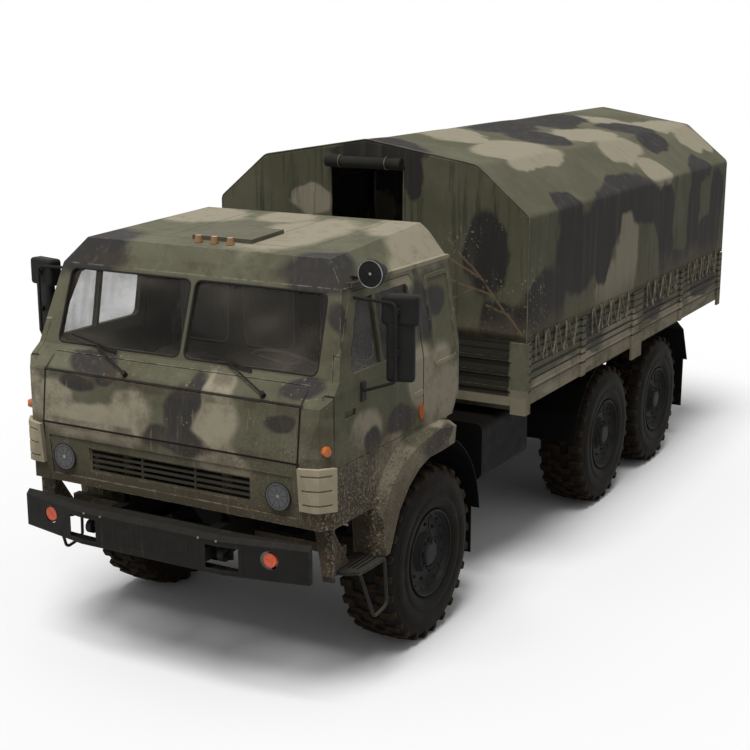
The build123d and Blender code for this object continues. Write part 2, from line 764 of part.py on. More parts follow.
with BuildPart() as steps:
    with BuildSketch(Plane.XY.offset(step_top_z - step_thickness)):
        with BuildLine():
            Polyline(*[(across, front_axle_y + along) for across, along in step_outline], close=True)
        make_face()
    extrude(amount=step_thickness)
    # Grooves make the tread plate's bars.
    with Locations((step_outline[0][0] + step_slots * step_slot_pitch / 2, front_axle_y - 840, step_top_z)):
        with GridLocations(step_slot_pitch, 1, step_slots, 1):
            Box(step_slot_width, 240, step_thickness, mode=Mode.SUBTRACT)
    with BuildSketch(section_at(bracket_y + bracket_thickness)):
        with BuildLine():
            Polyline((bracket_top_half[0], cab_bottom_z - panel_gap),
                     (bracket_top_half[1], cab_bottom_z - panel_gap),
                     (bracket_foot_half[1], step_top_z - step_thickness),
                     (bracket_foot_half[0], step_top_z - step_thickness), close=True)
        make_face()
    extrude(amount=bracket_thickness)
    with BuildSketch(Plane.YZ.offset(bracket_foot_half[0])):
        with BuildLine():
            Polyline((bracket_y, step_top_z - step_thickness), (bracket_y, cab_bottom_z - panel_gap),
                     (bracket_y + 60, cab_bottom_z - panel_gap), (front_axle_y - 900, step_top_z),
                     (front_axle_y - 900, step_top_z - step_thickness), close=True)
        make_face()
    extrude(amount=bracket_thickness)
    with Locations((rail_outer_x + fit, step_arm_y, rail_bottom_z + 10)):
        Box(bracket_foot_half[0] - rail_outer_x, step_arm_size, step_arm_size,
            align=(Align.MIN, Align.CENTER, Align.MIN))
    hoop_top_z = step_top_z - step_thickness / 2
    with BuildLine() as hoop_path:
        FilletPolyline((hoop_x - 14, front_axle_y - 700, hoop_top_z),
                       (hoop_x, front_axle_y - 692, hoop_bottom_z + 25),
                       (hoop_x, front_axle_y - 862, hoop_bottom_z), (hoop_x - 26, front_axle_y - 990,
                                                                     hoop_top_z),
                       radius=45)
    with BuildSketch(Plane(origin=hoop_path.line @ 0, z_dir=hoop_path.line % 0)):
        Circle(hoop_tube_radius)
    sweep(path=hoop_path.line)
    mirror(about=Plane.YZ)
keep(steps.part, "steps")

# Cab skin

cab_front_outline = ((cab_half_width, belt_z), (gutter_x, gutter_z), (roof_edge_x, roof_edge_z),
                     (roof_edge_x - 90, roof_rear_z + 60))
corner_nose_y = face_crease_y - 10
cab_plan_outline = ((cab_half_width, cab_back_y + 100), (cab_half_width, corner_side_y),
                    (cab_half_width - corner_bevel, corner_nose_y + corner_slope),
                    (corner_start_x, corner_nose_y))


# The cab's outer form, moved inwards by inset: side view, front view and plan cut one another.
def cab_form(inset, below=0):
    reach = overall_length
    foot_z = cab_bottom_z - below
    side_view = ((face_foot_y, foot_z), (face_foot_y, cab_bottom_z), (face_crease_y, face_crease_z),
                 (face_top_y, face_top_z), (screen_foot_y, screen_foot_z), (screen_top_y, screen_top_z),
                 (roof_front_y, roof_front_z), (cab_back_y - 30, roof_rear_z), (cab_back_y,
                                                                                roof_rear_z - 60),
                 (cab_back_y, cab_rear_corner_z), (cab_rear_foot_y, cab_floor_z), (cab_rear_foot_y, foot_z))
    front_view = mirrored(((cab_half_width, foot_z), *cab_front_outline))
    with BuildPart() as form:
        for view, plane in ((side_view, Plane.YZ), (front_view, Plane.XZ),
                            (mirrored(cab_plan_outline), Plane.XY)):
            with BuildSketch(plane):
                with BuildLine():
                    Polyline(*[point for place, point in enumerate(view) if point != view[place - 1]],
                             close=True)
                make_face()
                if inset:
                    offset(amount=-inset, kind=Kind.INTERSECTION)
            extrude(amount=reach, both=True, mode=Mode.ADD if view is side_view else Mode.INTERSECT)
    return form.part


# A side-view shape carried right across the cab, or over one side of it from x=inner outwards.
def side_cutter(points, inner=None, side=1, radius=0):
    with BuildPart() as cutter:
        with BuildSketch(Plane.YZ.offset(-2 * cab_half_width if inner is None else side * inner)) as view:
            with BuildLine():
                Polyline(*points, close=True)
            make_face()
            if radius:
                fillet(view.vertices(), radius)
        extrude(amount=4 * cab_half_width if inner is None else side * cab_half_width)
    return cutter.part


# A front-view shape carried back through the cab's front as far as the door's front edge.
def front_cutter(points, radius=0):
    with BuildPart() as cutter:
        with BuildSketch(section_at(screen_top_y + 60)) as view:
            with BuildLine():
                Polyline(*points, close=True)
            make_face()
            if radius:
                fillet(view.vertices(), radius)
        extrude(amount=cab_half_width)
    return cutter.part


outer_form = cab_form(0)
inner_form = cab_form(cab_wall, below=4 * cab_wall)
glass_outer_form = cab_form(glass_depth)
glass_inner_form = cab_form(glass_depth + glass_thickness, below=4 * cab_wall)

# Door and window outlines in side view; the front edges run beside the screen's pillar
pillar_slope = (screen_top_y - screen_foot_y) / (screen_top_z - screen_foot_z)


def pillar_y(height, back):
    return screen_foot_y + pillar_slope * (height - screen_foot_z) + back


def door_outline(gap):
    shoulder_z = screen_foot_z - 60
    return ((door_front_y + gap, door_bottom_z + gap), (door_front_y + gap, shoulder_z),
            (pillar_y(door_top_z - gap, pillar_width + gap), door_top_z - gap),
            (door_rear_y - 45 - gap, door_top_z - gap), (door_rear_y - gap, door_top_z - 60),
            (door_rear_y - gap, door_bottom_z + gap))


def window_outline(gap):
    front = pillar_width + window_margin
    return ((pillar_y(window_bottom_z, front - 50) + gap, window_bottom_z + gap),
            (pillar_y(window_top_z, front) + gap, window_top_z - gap),
            (door_rear_y - window_margin - gap, window_top_z - gap),
            (door_rear_y - window_margin - gap, window_bottom_z + gap))


def window_bar(gap):
    # Outline of the upright between the door's quarter light and its main glass.
    return ((window_bar_y - gap, window_bottom_z - cab_wall), (window_bar_y - gap, window_top_z + cab_wall),
            (window_bar_y + window_bar_width + gap, window_top_z + cab_wall),
            (window_bar_y + window_bar_width + gap, window_bottom_z - cab_wall))


arch_top = from_front_axle(arch_top_line)
arch_clearance = ((arch_top[0][0], cab_bottom_z - 50), (arch_top[1][0], cab_bottom_z), *arch_top[1:-1],
                  (cab_back_y + 50, arch_top[-2][1]), (cab_back_y + 50, cab_bottom_z - 50))
front_region = ((face_crease_y - 200, cab_bottom_z - 10), (face_crease_y - 200, gutter_z),
                (pillar_y(gutter_z, pillar_width), gutter_z), (door_front_y, screen_foot_z - 60),
                (door_front_y, cab_bottom_z - 10))
roof_region = ((face_crease_y - 200, gutter_z), (face_crease_y - 200, roof_rear_z + 100),
               (cab_back_y + 50, roof_rear_z + 100), (cab_back_y + 50, gutter_z))
back_region = ((cab_back_y - cab_wall, gutter_z), (cab_back_y + 50, gutter_z),
               (cab_back_y + 50, cab_floor_z - 300),
               (cab_rear_foot_y - cab_wall, cab_floor_z - 300), (cab_rear_foot_y - cab_wall, cab_floor_z),
               (cab_back_y - cab_wall, cab_rear_corner_z))

front_reach = 110                # how far the face, cowl and screen frame reach behind the door's front edge
front_zone = ((face_crease_y - 200, cab_bottom_z - 10), (face_crease_y - 200, gutter_z),
              (pillar_y(gutter_z, front_reach), gutter_z), (door_front_y + front_reach, screen_foot_z - 60),
              (door_front_y + front_reach, cab_bottom_z - 10))

with BuildPart() as cab_skin:
    add(outer_form)
    add(inner_form, mode=Mode.SUBTRACT)
    add(side_cutter(arch_clearance), mode=Mode.SUBTRACT)


# The side walls alone, with their lean above the belt
def side_wall_pair(thickness):
    with BuildPart() as walls:
        with BuildSketch(section_at(cab_back_y)):
            with BuildLine():
                Polyline(*mirrored(((cab_half_width, cab_bottom_z), *cab_front_outline)), close=True)
            make_face()
            offset(amount=-thickness, kind=Kind.INTERSECTION, mode=Mode.SUBTRACT)
            with Locations((0, cab_bottom_z)):
                Rectangle(2 * (cab_half_width - thickness), 4 * thickness, mode=Mode.SUBTRACT)
        extrude(amount=2 * cab_half_width)
        add(outer_form, mode=Mode.INTERSECT)
        add(side_cutter(arch_clearance), mode=Mode.SUBTRACT)
        add(side_cutter(roof_region), mode=Mode.SUBTRACT)
    return walls.part


side_walls = side_wall_pair(cab_wall)

# Cab roof with its hatch opening
with BuildPart() as cab_roof:
    add(cab_skin.part)
    add(side_cutter(roof_region), mode=Mode.INTERSECT)
    with Locations((0, sum(hatch_y) / 2, (roof_front_z + roof_rear_z) / 2)):
        Box(2 * (hatch_half_width - hatch_lip), hatch_y[1] - hatch_y[0] - 2 * hatch_lip, 8 * cab_wall,
            mode=Mode.SUBTRACT)
    rail_start_y = pillar_y(gutter_z, pillar_width)
    for side in (-1, 1):
        with Locations((side * (gutter_x - cab_wall / 2), rail_start_y, gutter_z)):
            Box(cab_wall / 2 + gutter_rail[0], cab_back_y - rail_start_y - panel_gap, gutter_rail[1],
                align=(Align.MIN if side > 0 else Align.MAX, Align.MIN, Align.MIN))
keep(cab_roof.part, "cab_roof")

roof_tilt = (roof_rear_z - roof_front_z) / (cab_back_y - 30 - roof_front_y)


def roof_z(along):
    return roof_front_z + roof_tilt * (along - roof_front_y)


hatch_outline = ((hatch_y[0], roof_z(hatch_y[0]) + fit), (hatch_y[1], roof_z(hatch_y[1]) + fit),
                 (hatch_y[1], roof_z(hatch_y[1]) + fit + hatch_thickness),
                 (hatch_y[0], roof_z(hatch_y[0]) + fit + hatch_thickness))
with BuildPart() as roof_hatch:
    with BuildSketch(Plane.YZ.offset(-hatch_half_width)):
        with BuildLine():
            Polyline(*hatch_outline, close=True)
        make_face()
    extrude(amount=2 * hatch_half_width)
    with BuildSketch(Plane.YZ.offset(-hatch_barrel_length / 2)):
        with Locations((hatch_y[1], roof_z(hatch_y[1]) + fit + hatch_barrel_radius)):
            Circle(hatch_barrel_radius)
    extrude(amount=hatch_barrel_length)
keep(roof_hatch.part, "roof_hatch")

# Cab back wall, in one with the floor's rear upstand
with BuildPart() as cab_back:
    add(cab_skin.part)
    add(side_cutter(back_region), mode=Mode.INTERSECT)
    with Locations((0, cab_back_y, (cab_floor_z + gutter_z) / 2)):
        Box(2 * (cab_half_width - cab_wall), 8 * cab_wall, gutter_z, mode=Mode.INTERSECT)
    with Locations((0, cab_rear_foot_y - cab_wall, cab_floor_z - cab_floor_thickness)):
        Box(4 * cab_half_width, 6 * cab_wall, 4 * cab_wall, align=(Align.CENTER, Align.CENTER, Align.MAX),
            mode=Mode.SUBTRACT)
keep(cab_back.part, "cab_back")

def blank_outline(inset):
    return ((blank_y[0] + inset, blank_z[0] + inset), (blank_y[0] + inset, blank_z[1] - inset),
            (blank_y[1] - inset, blank_z[1] - inset), (blank_y[1] - inset, blank_z[0] + inset))


# Cab sides with the door openings
with BuildPart() as cab_sides:
    add(side_walls)
    for region in (front_region, door_outline(0)):
        add(side_cutter(region), mode=Mode.SUBTRACT)
    add(cab_back.part, mode=Mode.SUBTRACT)
    with BuildPart(mode=Mode.PRIVATE) as blank_frames:
        add(cab_form(-blank_stand_out))
        add(outer_form, mode=Mode.SUBTRACT)
        add(side_cutter(blank_outline(0), radius=blank_radius), mode=Mode.INTERSECT)
        add(side_cutter(blank_outline(blank_frame), radius=blank_radius - blank_frame), mode=Mode.SUBTRACT)
        Box(2 * corner_start_x, 2 * overall_length, 2 * overall_length, mode=Mode.SUBTRACT)
    add(blank_frames.part)
keep(cab_sides.part, "cab_sides")

# Doors and their glass
def make_door(side):
    with BuildPart() as door:
        add(side_walls)
        add(side_cutter(door_outline(panel_gap), inner=corner_start_x, side=side), mode=Mode.INTERSECT)
        with BuildPart(mode=Mode.PRIVATE) as opening:
            add(side_cutter(window_outline(0), inner=corner_start_x, side=side, radius=window_radius))
            add(side_cutter(window_bar(0), inner=corner_start_x, side=side), mode=Mode.SUBTRACT)
        add(opening.part, mode=Mode.SUBTRACT)
        # Recess of the handle, a pull by the rear edge and the oval reflector under it.
        with Locations((side * cab_half_width, *handle_middle)):
            Box(2 * handle_depth, *handle_size, mode=Mode.SUBTRACT)
        with Locations((side * cab_half_width, *pull_middle)):
            Box(2 * pull_thickness, *pull_size)
        with BuildSketch(Plane.YZ.offset(side * (cab_half_width - fit))):
            with Locations(reflector_middle):
                Ellipse(*reflector_radii)
        extrude(amount=side * pull_thickness)
        for hinge_z in door_hinge_z:
            with BuildSketch(Plane.XY.offset(hinge_z)):
                with Locations((side * door_hinge_x, door_front_y + fit + hinge_barrel_radius)):
                    Circle(hinge_barrel_radius)
            extrude(amount=door_hinge_length)
    return door.part


def make_door_glass(side):
    with BuildPart() as glass:
        add(glass_outer_form)
        add(glass_inner_form, mode=Mode.SUBTRACT)
        add(side_cutter(window_outline(fit), inner=corner_start_x, side=side, radius=window_radius - fit),
            mode=Mode.INTERSECT)
        add(side_cutter(window_bar(fit), inner=corner_start_x, side=side), mode=Mode.SUBTRACT)
    return glass.part


for name, side in (("left", 1), ("right", -1)):
    keep(make_door(side), "door_" + name)
    keep(make_door_glass(side), "door_glass_" + name)

# Cab front: face, cowl, corners and windscreen frame, with the firewall behind the flap
screen_low_z = screen_foot_z + screen_margin
screen_high_z = screen_top_z - screen_margin


def screen_outline(side, gap):
    return ((side * (screen_divider / 2 + gap), screen_low_z + gap),
            (side * (screen_divider / 2 + gap), screen_high_z - gap),
            (side * (screen_side_x - 14 - gap), screen_high_z - gap), (side * (screen_side_x - gap),
                                                                       screen_low_z + gap))


def box_outline(half_width, low, high):
    return ((-half_width, low), (-half_width, high), (half_width, high), (half_width, low))


def skin_recess(depth, *outlines):
    # A shallow recess of even depth in the front skin under each outline.
    with BuildPart() as recess:
        for outline in outlines:
            add(front_cutter(outline))
        add(outer_form, mode=Mode.INTERSECT)
        add(cab_form(depth, below=4 * cab_wall), mode=Mode.SUBTRACT)
    return recess.part


def seam_outline(side):
    # Upright seam between the face and the cab's corner, below the flap.
    return tuple((side * (flap_half_width + place), height) for place, height in
                 ((0, cab_bottom_z - panel_gap), (0, face_crease_z), (panel_gap, face_crease_z),
                  (panel_gap, cab_bottom_z - panel_gap)))


with BuildPart() as rear_of_pillar:
    add(side_wall_pair(cab_wall + panel_gap))
    add(side_cutter(front_region), mode=Mode.SUBTRACT)

with BuildPart() as cab_front:
    add(cab_skin.part)
    add(side_cutter(front_zone), mode=Mode.INTERSECT)
    add(rear_of_pillar.part, mode=Mode.SUBTRACT)
    for side in (-1, 1):
        add(front_cutter(screen_outline(side, 0), screen_radius), mode=Mode.SUBTRACT)
        with BuildSketch(section_at(firewall_y)):
            with Locations((side * headlamp_x, headlamp_z)):
                Circle(headlamp_radius + fit)
        extrude(amount=cab_half_width, mode=Mode.SUBTRACT)
    add(front_cutter(box_outline(flap_half_width + panel_gap, face_crease_z, face_top_z)),
        mode=Mode.SUBTRACT)
    add(front_cutter(box_outline(grille_half_width, *grille_z)), mode=Mode.SUBTRACT)
    add(skin_recess(panel_recess, box_outline(panel_half_width, *panel_z)), mode=Mode.SUBTRACT)
    add(skin_recess(seam_depth, box_outline(flap_half_width, *cowl_seam_z), seam_outline(1),
                    seam_outline(-1)),
        mode=Mode.SUBTRACT)
    with Locations((0, firewall_y, cab_floor_z - cab_floor_thickness)):
        Box(2 * (cab_half_width - cab_wall), firewall_thickness,
            face_top_z - cab_floor_z + 2 * cab_floor_thickness,
            align=(Align.CENTER, Align.MIN, Align.MIN))
keep(cab_front.part, "cab_front")

with BuildPart() as hood_flap:
    add(outer_form)
    add(cab_form(cab_wall / 2, below=4 * cab_wall), mode=Mode.SUBTRACT)
    add(front_cutter(box_outline(flap_half_width, face_crease_z + panel_gap, face_top_z - panel_gap)),
        mode=Mode.INTERSECT)
    for middle_x in flap_hinge_x:
        with BuildSketch(Plane.YZ.offset(middle_x - flap_hinge_length / 2)):
            with Locations((flap_hinge_y, flap_hinge_z)):
                Circle(flap_barrel_radius)
        extrude(amount=flap_hinge_length)
keep(hood_flap.part, "hood_flap")

with BuildPart() as windscreen:
    for side in (-1, 1):
        with BuildPart(mode=Mode.PRIVATE) as pane:
            add(glass_outer_form)
            add(glass_inner_form, mode=Mode.SUBTRACT)
            add(front_cutter(screen_outline(side, fit), screen_radius - fit), mode=Mode.INTERSECT)
        add(pane.part)
keep(windscreen.part, "windscreen")

# Cab floor
floor_bottom_z = cab_floor_z - cab_floor_thickness
with BuildPart() as cab_floor:
    with BuildSketch(Plane.XY.offset(floor_bottom_z)):
        with BuildLine():
            Polyline(*mirrored(((cab_half_width - cab_wall, cab_rear_foot_y),
                                (cab_half_width - cab_wall, firewall_y + firewall_thickness))), close=True)
        make_face()
    extrude(amount=cab_floor_thickness)
    # Arms down to the tilting pins.
    for side in (-1, 1):
        with BuildSketch(Plane.YZ.offset(side * cab_arm_x - cab_arm_width / 2)):
            with Locations((cab_pivot_y, (cab_pivot_z + floor_bottom_z) / 2)):
                Rectangle(2 * cab_arm_radius, floor_bottom_z - cab_pivot_z)
            with Locations((cab_pivot_y + 2 * cab_arm_radius, floor_bottom_z - cab_arm_radius)):
                Rectangle(2 * cab_arm_radius, 2 * cab_arm_radius)
            with Locations((cab_pivot_y, cab_pivot_z)):
                Circle(cab_arm_radius)
        extrude(amount=cab_arm_width)
        pin_half = cab_arm_width / 2 + cab_ear_gap + cab_ear_thickness
        with BuildSketch(Plane.YZ.offset(side * cab_arm_x - pin_half)):
            with Locations((cab_pivot_y, cab_pivot_z)):
                Circle(cab_pin_radius)
        extrude(amount=2 * pin_half)
    for solid in (cab_back.part, cab_front.part, cab_sides.part):
        add(solid, mode=Mode.SUBTRACT)
keep(cab_floor.part, "cab_floor")

# Grille in its opening, with a ribbed air deflector round each corner of the cab
grille_front_y = face_foot_y + panel_recess - 10
grille_height = grille_z[1] - grille_z[0]
slot_width = (2 * grille_half_width - (grille_columns + 1) * grille_post) / grille_columns
slot_height = (grille_height - (grille_rows + 1) * grille_bar) / grille_rows
deflector_height = deflector_z[1] - deflector_z[0]
deflector_pitch = deflector_height / deflector_slots
with BuildPart() as grille:
    with BuildSketch(section_at(grille_front_y + grille_thickness)):
        with Locations((0, sum(grille_z) / 2)):
            Rectangle(2 * (grille_half_width - fit), grille_height - 2 * fit)
            with GridLocations(slot_width + grille_post, slot_height + grille_bar, grille_columns,
                               grille_rows):
                Rectangle(slot_width, slot_height, mode=Mode.SUBTRACT)
    extrude(amount=grille_thickness)
    with BuildPart(mode=Mode.PRIVATE) as deflectors:
        add(cab_form(-deflector_thickness))
        add(outer_form, mode=Mode.SUBTRACT)
        with Locations((0, face_crease_y - 200, sum(deflector_z) / 2)):
            Box(4 * cab_half_width, deflector_back_y - face_crease_y + 200, deflector_height,
                align=(Align.CENTER, Align.MIN, Align.CENTER), mode=Mode.INTERSECT)
        Box(2 * deflector_start_x, 2 * overall_length, 2 * overall_length, mode=Mode.SUBTRACT)
    with BuildPart(mode=Mode.PRIVATE) as slots:
        add(cab_form(-deflector_thickness - 1))
        add(cab_form(deflector_slot_depth - deflector_thickness), mode=Mode.SUBTRACT)
        with Locations((0, deflector_back_y - deflector_end, sum(deflector_z) / 2)):
            with Locations(*[(0, 0, (row - (deflector_slots - 1) / 2) * deflector_pitch)
                             for row in range(deflector_slots)]):
                Box(4 * cab_half_width, cab_half_width, deflector_slot,
                    align=(Align.CENTER, Align.MAX, Align.CENTER),
                    mode=Mode.INTERSECT)
        Box(2 * (deflector_start_x + deflector_end), 2 * overall_length, 2 * overall_length,
            mode=Mode.SUBTRACT)
    add(deflectors.part)
    add(slots.part, mode=Mode.SUBTRACT)
keep(grille.part, "grille")

# Cab lamps: headlamps, roof markers, side markers and the search lamp
search_lamp_place = (cab_half_width + 35, front_axle_y - 800, 2655)
search_lamp_radius = 88
search_lamp_length = 110
marker_radius = 28
marker_spread = 125
marker_y = front_axle_y - 715
side_marker_radius = 34
side_marker_place = (cab_half_width - corner_bevel / 2,
                     (corner_side_y + corner_nose_y + corner_slope) / 2, 1645)


def marker_plane(side):
    # Lies on the bevelled corner of the cab, facing forwards and outboard.
    across, along, up = side_marker_place
    corner_run = (corner_bevel, corner_side_y - corner_nose_y - corner_slope)
    return Plane(origin=(side * across, along, up), x_dir=(0, 0, 1),
                 z_dir=(side * corner_run[1], -corner_run[0], 0)).offset(fit)


with BuildPart() as cab_lamps:
    for side in (-1, 1):
        with BuildSketch(section_at(firewall_y - 45)):
            with Locations((side * headlamp_x, headlamp_z)):
                Circle(headlamp_radius)
        extrude(amount=firewall_y - 45 - face_foot_y + 24)
    with Locations(*[(column * marker_spread, marker_y, roof_z(marker_y + marker_radius) + fit)
                     for column in (-1, 0, 1)]):
        Cone(marker_radius, marker_radius - 8, 46, align=(Align.CENTER, Align.CENTER, Align.MIN))
    for side in (-1, 1):
        with BuildSketch(marker_plane(side)):
            Circle(side_marker_radius)
        extrude(amount=30, taper=20)
    add(cab_front.part, mode=Mode.SUBTRACT)
keep(cab_lamps.part, "cab_lamps")

lamp_x, lamp_y, lamp_z = search_lamp_place
with BuildPart() as search_lamp:
    with BuildSketch(section_at(lamp_y)):
        with Locations((lamp_x, lamp_z)):
            Circle(search_lamp_radius)
    extrude(amount=24)
    with BuildSketch(section_at(lamp_y)):
        with Locations((lamp_x, lamp_z)):
            Circle(search_lamp_radius - 6)
    extrude(amount=-search_lamp_length, taper=18)
    with Locations((lamp_x, lamp_y + search_lamp_length / 2, lamp_z - search_lamp_radius / 2)):
        Box(lamp_x - roof_edge_x, 24, 20, align=(Align.MAX, Align.CENTER, Align.CENTER))
    add(cab_roof.part, mode=Mode.SUBTRACT)
keep(search_lamp.part, "search_lamp")

# Wheel arch flares under the cab's sides
def arch_face(plane, top_line):
    with BuildSketch(plane) as face:
        with BuildLine():
            Polyline(*from_front_axle((*top_line, *arch_edge_line)), close=True)
        make_face()
    return face.sketch


flare_side_x = cab_half_width + fit
with BuildPart() as cab_flares:
    extrude(arch_face(Plane.YZ.offset(arch_inner_x), arch_top_line), amount=flare_side_x - arch_inner_x)
    loft((arch_face(Plane.YZ.offset(flare_side_x), arch_top_line).face(),
          arch_face(Plane.YZ.offset(arch_outer_x), arch_crease_line).face()), ruled=True)
    add(cab_sides.part, mode=Mode.SUBTRACT)
    add(cab_front.part, mode=Mode.SUBTRACT)
    add(cab_floor.part, mode=Mode.SUBTRACT)
    mirror(about=Plane.YZ)
keep(cab_flares.part, "cab_flares")

# Wipers: each a boss on the cowl, an arm and a blade that lies low on the glass
wiper_height = 18                # arm and blade stand this far off the screen plane
wiper_pivots = (-345, 712)
wiper_pivot_rise = 42            # up the cowl from the flap
wiper_boss_radius = 17
wiper_boss_height = 34
wiper_arm_radius = 6
blade_size = (395, 13, 12)
blade_middle = (-350, 40)        # beside the pivot, and up the screen from its foot
blade_turn = -11
screen_plane = Plane(origin=(0, screen_foot_y, screen_foot_z), x_dir=(1, 0, 0),
                     z_dir=(0, screen_foot_z - screen_top_z, screen_top_y - screen_foot_y))
cowl_plane = Plane(origin=(0, face_top_y, face_top_z), x_dir=(1, 0, 0),
                   z_dir=(0, face_top_z - screen_foot_z, screen_foot_y - face_top_y))
with BuildPart() as wipers:
    for pivot_x in wiper_pivots:
        with BuildSketch(cowl_plane.offset(fit)):
            with Locations((pivot_x, wiper_pivot_rise)):
                Circle(wiper_boss_radius)
        extrude(amount=wiper_boss_height)
        arm_foot = cowl_plane.from_local_coords((pivot_x, wiper_pivot_rise,
                                                 wiper_boss_height - wiper_arm_radius))
        arm_head = screen_plane.from_local_coords((pivot_x + blade_middle[0], blade_middle[1],
                                                   wiper_height))
        arm_run = arm_head - arm_foot
        with Locations(Plane(origin=arm_foot, z_dir=arm_run)):
            Cylinder(wiper_arm_radius, arm_run.length, align=(Align.CENTER, Align.CENTER, Align.MIN))
        with Locations(screen_plane.offset(wiper_height)):
            with Locations(Location((pivot_x + blade_middle[0], blade_middle[1], 0), (0, 0, blade_turn))):
                Box(*blade_size)
keep(wipers.part, "wipers")

# Seats: driver, middle and passenger, each a base, cushion and back
seat_x = (590, -40, -590)
seat_width = 480
seat_front_y = front_axle_y - 420
seat_depth = 480
seat_base_height = 260
seat_cushion = 130
seat_back_height = 620
seat_back_thickness = 120
with BuildPart() as seats:
    for middle_x in seat_x:
        with Locations((middle_x, seat_front_y + seat_depth / 2, cab_floor_z)):
            Box(seat_width - 120, seat_depth - 100, seat_base_height,
                align=(Align.CENTER, Align.CENTER, Align.MIN))
        with Locations((middle_x, seat_front_y + seat_depth / 2, cab_floor_z + seat_base_height)):
            Box(seat_width, seat_depth, seat_cushion, align=(Align.CENTER, Align.CENTER, Align.MIN))
        with Locations((middle_x, seat_front_y + seat_depth - seat_back_thickness,
                        cab_floor_z + seat_base_height + seat_cushion - 20)):
            Box(seat_width, seat_back_thickness, seat_back_height,
                align=(Align.CENTER, Align.MIN, Align.MIN))
    fillet(seats.edges().filter_by(Axis.X).group_by(Axis.Z)[-1], 40)
keep(seats.part, "seats")

# Dashboard with the steering column and wheel
dash_depth = 320
dash_z = (1860, 2010)
wheel_rim_radius = 235
wheel_tube_radius = 16
steering_wheel_place = (seat_x[0], front_axle_y - 760, 2010)
steering_plane = Plane(origin=steering_wheel_place, x_dir=(1, 0, 0), z_dir=(0, 0.55, 0.84))
with BuildPart() as dashboard:
    with BuildSketch(Plane.YZ.offset(-cab_half_width + cab_wall + 30)):
        with BuildLine():
            Polyline((firewall_y + firewall_thickness, cab_floor_z + 260),
                     (firewall_y + firewall_thickness, dash_z[0] + 40),
                     (screen_foot_y + 70, dash_z[1] - 40), (firewall_y + 20 + dash_depth, dash_z[1] - 20),
                     (firewall_y + 20 + dash_depth, dash_z[0]), (firewall_y + 120,
                                                                 cab_floor_z + 260), close=True)
        make_face()
    extrude(amount=2 * (cab_half_width - cab_wall - 30))
    for solid in (cab_front.part, cab_sides.part):
        add(solid, mode=Mode.SUBTRACT)
    with Locations(steering_plane):
        Torus(wheel_rim_radius, wheel_tube_radius)
        Cylinder(34, 330, align=(Align.CENTER, Align.CENTER, Align.MAX))
        with PolarLocations(0, 3, start_angle=90):
            Box(wheel_rim_radius, 34, 14, align=(Align.MIN, Align.CENTER, Align.CENTER))
keep(dashboard.part, "dashboard")

# Mirrors, carried by the doors
mirror_x = cab_half_width + 222
mirror_housing = (175, 66, 380)  # width, thickness, height as it hangs
mirror_middle = (mirror_x, front_axle_y - 776, 2195)
mirror_turn = 20                 # degrees, outer edge backwards
ramp_mirror_housing = (235, 104, 185)
ramp_mirror_middle = (mirror_x, front_axle_y - 766, 2448)
ramp_mirror_turn = 12
mirror_rounding = 24
mirror_tube = 10
mirror_tube_y = front_axle_y - 842
mirror_clamp = 32
mirror_tube_z = (2015, 2496)
mirror_feet = ((gutter_x + 10, front_axle_y - 812, 2500), (cab_half_width, front_axle_y - 856, 1936))
mirror_foot_plate = (12, 56, 120)


def make_mirror(side):
    top_foot, low_foot = mirror_feet
    with BuildPart() as mirror_part:
        for middle, housing, turn in ((mirror_middle, mirror_housing, mirror_turn),
                                      (ramp_mirror_middle, ramp_mirror_housing, ramp_mirror_turn)):
            with BuildPart(Location(middle, (0, 0, turn)), mode=Mode.PRIVATE) as shell:
                Box(*housing)
                fillet(shell.edges(), mirror_rounding)
            add(shell.part)
            with Locations((mirror_x, mirror_tube_y, middle[2])):
                Box(mirror_clamp, middle[1] - mirror_tube_y, mirror_clamp,
                    align=(Align.CENTER, Align.MIN, Align.CENTER))
        with BuildLine() as bracket_path:
            FilletPolyline(top_foot, (mirror_x, mirror_tube_y, mirror_tube_z[1]),
                           (mirror_x, mirror_tube_y, mirror_tube_z[0]), low_foot, radius=40)
        with BuildSketch(Plane(origin=bracket_path.line @ 0, z_dir=bracket_path.line % 0)):
            RegularPolygon(mirror_tube, 8)
        sweep(path=bracket_path.line)
        with Locations(low_foot):
            Box(*mirror_foot_plate, align=(Align.MIN, Align.CENTER, Align.CENTER))
        add(side_walls, mode=Mode.SUBTRACT)
        if side < 0:
            mirror(about=Plane.YZ, mode=Mode.REPLACE)
    return mirror_part.part


keep(make_mirror(1), "mirror_left")
keep(make_mirror(-1), "mirror_right")

